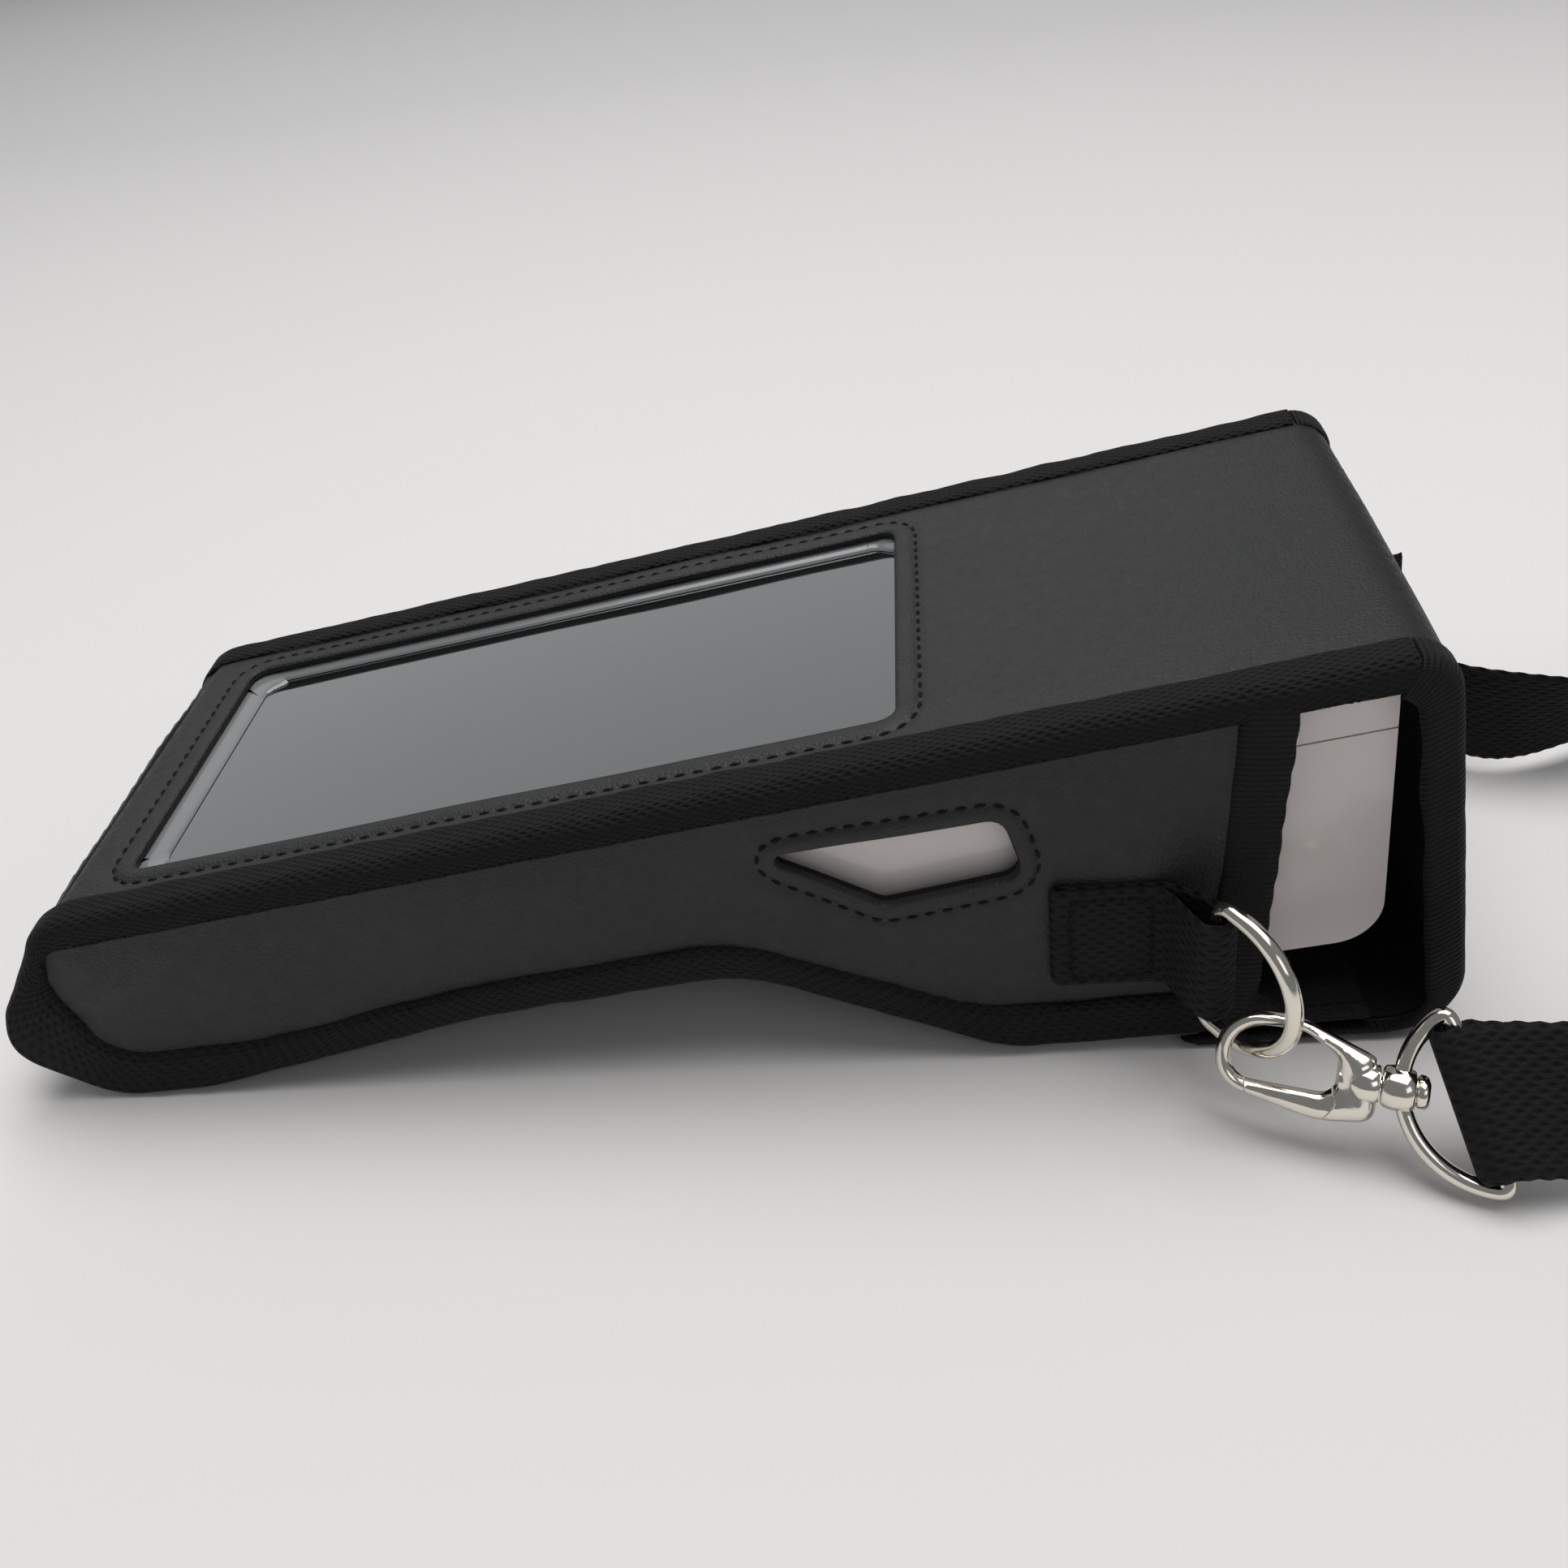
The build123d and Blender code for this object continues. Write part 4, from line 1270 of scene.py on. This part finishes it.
SWIVEL = (104.2, -71.0, 13.6)
HOOK_YAW, HOOK_LEAN = -18.3, 24.1
HOOK_OUTLINE = [(-26.3, -3.8), (-11.0, -7.2), (-2.6, -6.0), (-3.0, 4.0), (-15.0, 8.6), (-26.3, 8.2)]
HOOK_RADII = [5.5, 14, 2.5, 1.5, 9, 7]
HOOK_HOLE = [(-24.0, -2.5), (-8.8, -2.7), (-8.6, 3.3), (-13.8, 6.5), (-24.0, 6.1)]
HOLE_RADII = [3.2, 2.2, 2, 3.5, 5]
HOOK_GATE = [(-20.2, -9.0), (-11.6, -9.0), (-8.4, -3.6), (-9.4, -1.2), (-21.9, -1.2)]
HOOK_HALF = 1.65
# Turned shapes on the swivel's axis, each a list of (place along it, radius)
NECK_PROFILE = [(-6.4, 0.0), (-6.4, 2.3), (-5.2, 3.0), (-3.0, 3.0), (-2.5, 2.6), (-2.5, 0.0)]
COLLAR_PROFILE = [(-2.3, 1.3), (-2.3, 2.6), (-1.9, 3.1), (-0.6, 3.35), (1.0, 3.35), (2.2, 3.1), (2.55, 2.6),
                  (2.55, 1.3)]
POST_PROFILE = [(-8.2, 0.0), (-8.2, 1.7), (-7.7, 1.7), (-7.6, 1.2), (2.5, 1.2), (2.6, 2.2), (2.9, 2.5),
                (3.9, 2.5), (4.4, 2.0), (4.5, 0.0)]
BAIL_OUT = (0.927, -0.091, 0.364)
BAIL_HALF, BAIL_DEPTH, BAIL_WIRE = 13.7, 10.3, 1.3


def hook_axes():
    yaw, lean = math.radians(HOOK_YAW), math.radians(HOOK_LEAN)
    out = np.array([math.cos(yaw), math.sin(yaw), 0.0])
    up = np.array([-math.sin(yaw) * math.sin(lean), math.cos(yaw) * math.sin(lean), math.cos(lean)])
    return out, up, np.cross(out, up)


def in_axes(origin, axes, points, side):
    """Points given along three axes, in metres, on the near or the far side."""
    placed = np.array(origin) + sum(np.outer(points[:, k], axes[k]) for k in range(3))
    return to_metres(placed * (1, side, 1))


def hook_loop(corners, radii, grown=0.0):
    """A closed, evenly spaced line round a rounded shape in the hook's own plane."""
    loop = resample(rounded(corners, radii, 0.6)[0], 0.6, closed=True)
    return grow(loop, grown) if grown else loop


def build_hooks():
    axes = hook_axes()
    outline = hook_loop(HOOK_OUTLINE, HOOK_RADII)
    hole = hook_loop(HOOK_HOLE, HOLE_RADII)
    gate = hook_loop(HOOK_GATE, [0.3] * len(HOOK_GATE))
    slot = hook_loop(HOOK_GATE, [0.3] * len(HOOK_GATE), 0.22)
    steps = (0.12, 0.3, 0.6, 1.0)
    details = [(outline, [-step for step in steps]), (hole, steps)]
    flat, triangles = sheet_mesh(outline, [hole], 0.7, details, [gate, slot])
    gap = np.minimum(distance_round(outline, flat),
                     distance_round(hole, flat))
    near = np.clip(gap / 2.4, 0, 1)
    half = HOOK_HALF * np.sqrt(np.clip(1 - (1 - near) ** 2, 0.001, 1))
    half += 0.8 * np.clip((flat[:, 0] + 13) / 8, 0, 1) * near
    centre = flat[triangles].mean(1)
    in_slot, in_gate = inside(slot, centre), inside(gate, centre)
    neck = revolve(NECK_PROFILE, 24)
    for name, side in SIDES.items():
        for part, chosen, node in (("hook", ~in_slot, "hook_body"), ("gate", in_gate, "hook_gate")):
            kept, faces = used_only(flat, triangles[chosen])
            thick = half[np.unique(triangles[chosen])]
            front = in_axes(SWIVEL, axes, np.column_stack([kept, thick]), side)
            back = in_axes(SWIVEL, axes, np.column_stack([kept, -thick]), side)
            piece = solid_sheet(f"{part}_casting_{name}", kept, faces, front, back, [NICKEL])
            if part == "hook":
                add_shell(piece, in_axes(SWIVEL, axes, neck[0], side), neck[1])
                square_up(piece, 50)
            settle(piece, f"{part}_{name}", "nickel", f"{node}_{name}")


def bail_path():
    """The bail's closed centreline with rounded corners, in its own two axes."""
    high, deep = BAIL_HALF, BAIL_DEPTH
    radius = (high ** 2 + deep ** 2) / (2 * deep)
    half = math.asin(high / radius)
    angles = np.linspace(-half, half, 40)
    bow = np.stack([radius - deep - radius * np.cos(angles), radius * np.sin(angles)], 1)
    loop = resample(bow, 0.5, closed=True)
    for _ in range(14):
        loop = (np.roll(loop, 1, 0) + 2 * loop + np.roll(loop, -1, 0)) / 4
    return loop


def build_bails():
    out, up = np.array(BAIL_OUT), np.array(BAIL_UP)
    axes = (out, up, np.cross(out, up))
    loop = bail_path()
    count, sides = len(loop), 14
    tangent = np.roll(loop, -1, 0) - np.roll(loop, 1, 0)
    tangent /= np.linalg.norm(tangent, axis=1)[:, None]
    points = []
    for k in range(count):
        for q in range(sides):
            angle = 2 * math.pi * q / sides
            wide = BAIL_WIRE * math.cos(angle)
            points.append((loop[k, 0] + tangent[k, 1] * wide, loop[k, 1] - tangent[k, 0] * wide,
                           BAIL_WIRE * math.sin(angle)))
    faces = []
    for k in range(count):
        for q in range(sides):
            a, b = k * sides, (k + 1) % count * sides
            faces.append((a + q, a + (q + 1) % sides, b + (q + 1) % sides, b + q))
    collar = revolve(COLLAR_PROFILE, 28)
    post = revolve(POST_PROFILE, 24)
    for name, side in SIDES.items():
        piece = new_piece(f"bail_wire_{name}", in_axes(BAIL, axes, np.array(points), side), faces, [NICKEL])
        add_shell(piece, in_axes(SWIVEL, hook_axes(), collar[0], side), collar[1])
        square_up(piece, 50)
        settle(piece, f"bail_{name}", "nickel", f"strap_bail_{name}")
        rivet = new_piece(f"rivet_{name}", in_axes(SWIVEL, hook_axes(), post[0], side), post[1], [NICKEL])
        square_up(rivet, 50)
        settle(rivet, f"hook_{name}", "nickel", f"swivel_post_{name}")


build_hooks()
build_bails()

# ---- metal and terminal ----


def refinish(material, *names):
    """A CAD node keeps its shape and gets a better material."""
    for name in names:
        piece = nodes[name]
        if not piece.material_slots:
            piece.data.materials.append(material)
        for holder in piece.material_slots:
            holder.material = material


METAL = ("d_ring", "gate_pin")
for side_name in SIDES:
    refinish(NICKEL, *(f"{part}_{side_name}" for part in METAL))
refinish(SHELL, "terminal_front_housing", "terminal_rear_housing")
refinish(SHELL_DARK, "terminal_roll_cover")
refinish(SEAL, "terminal_seal")
refinish(GLASS, "terminal_glass", "terminal_display")
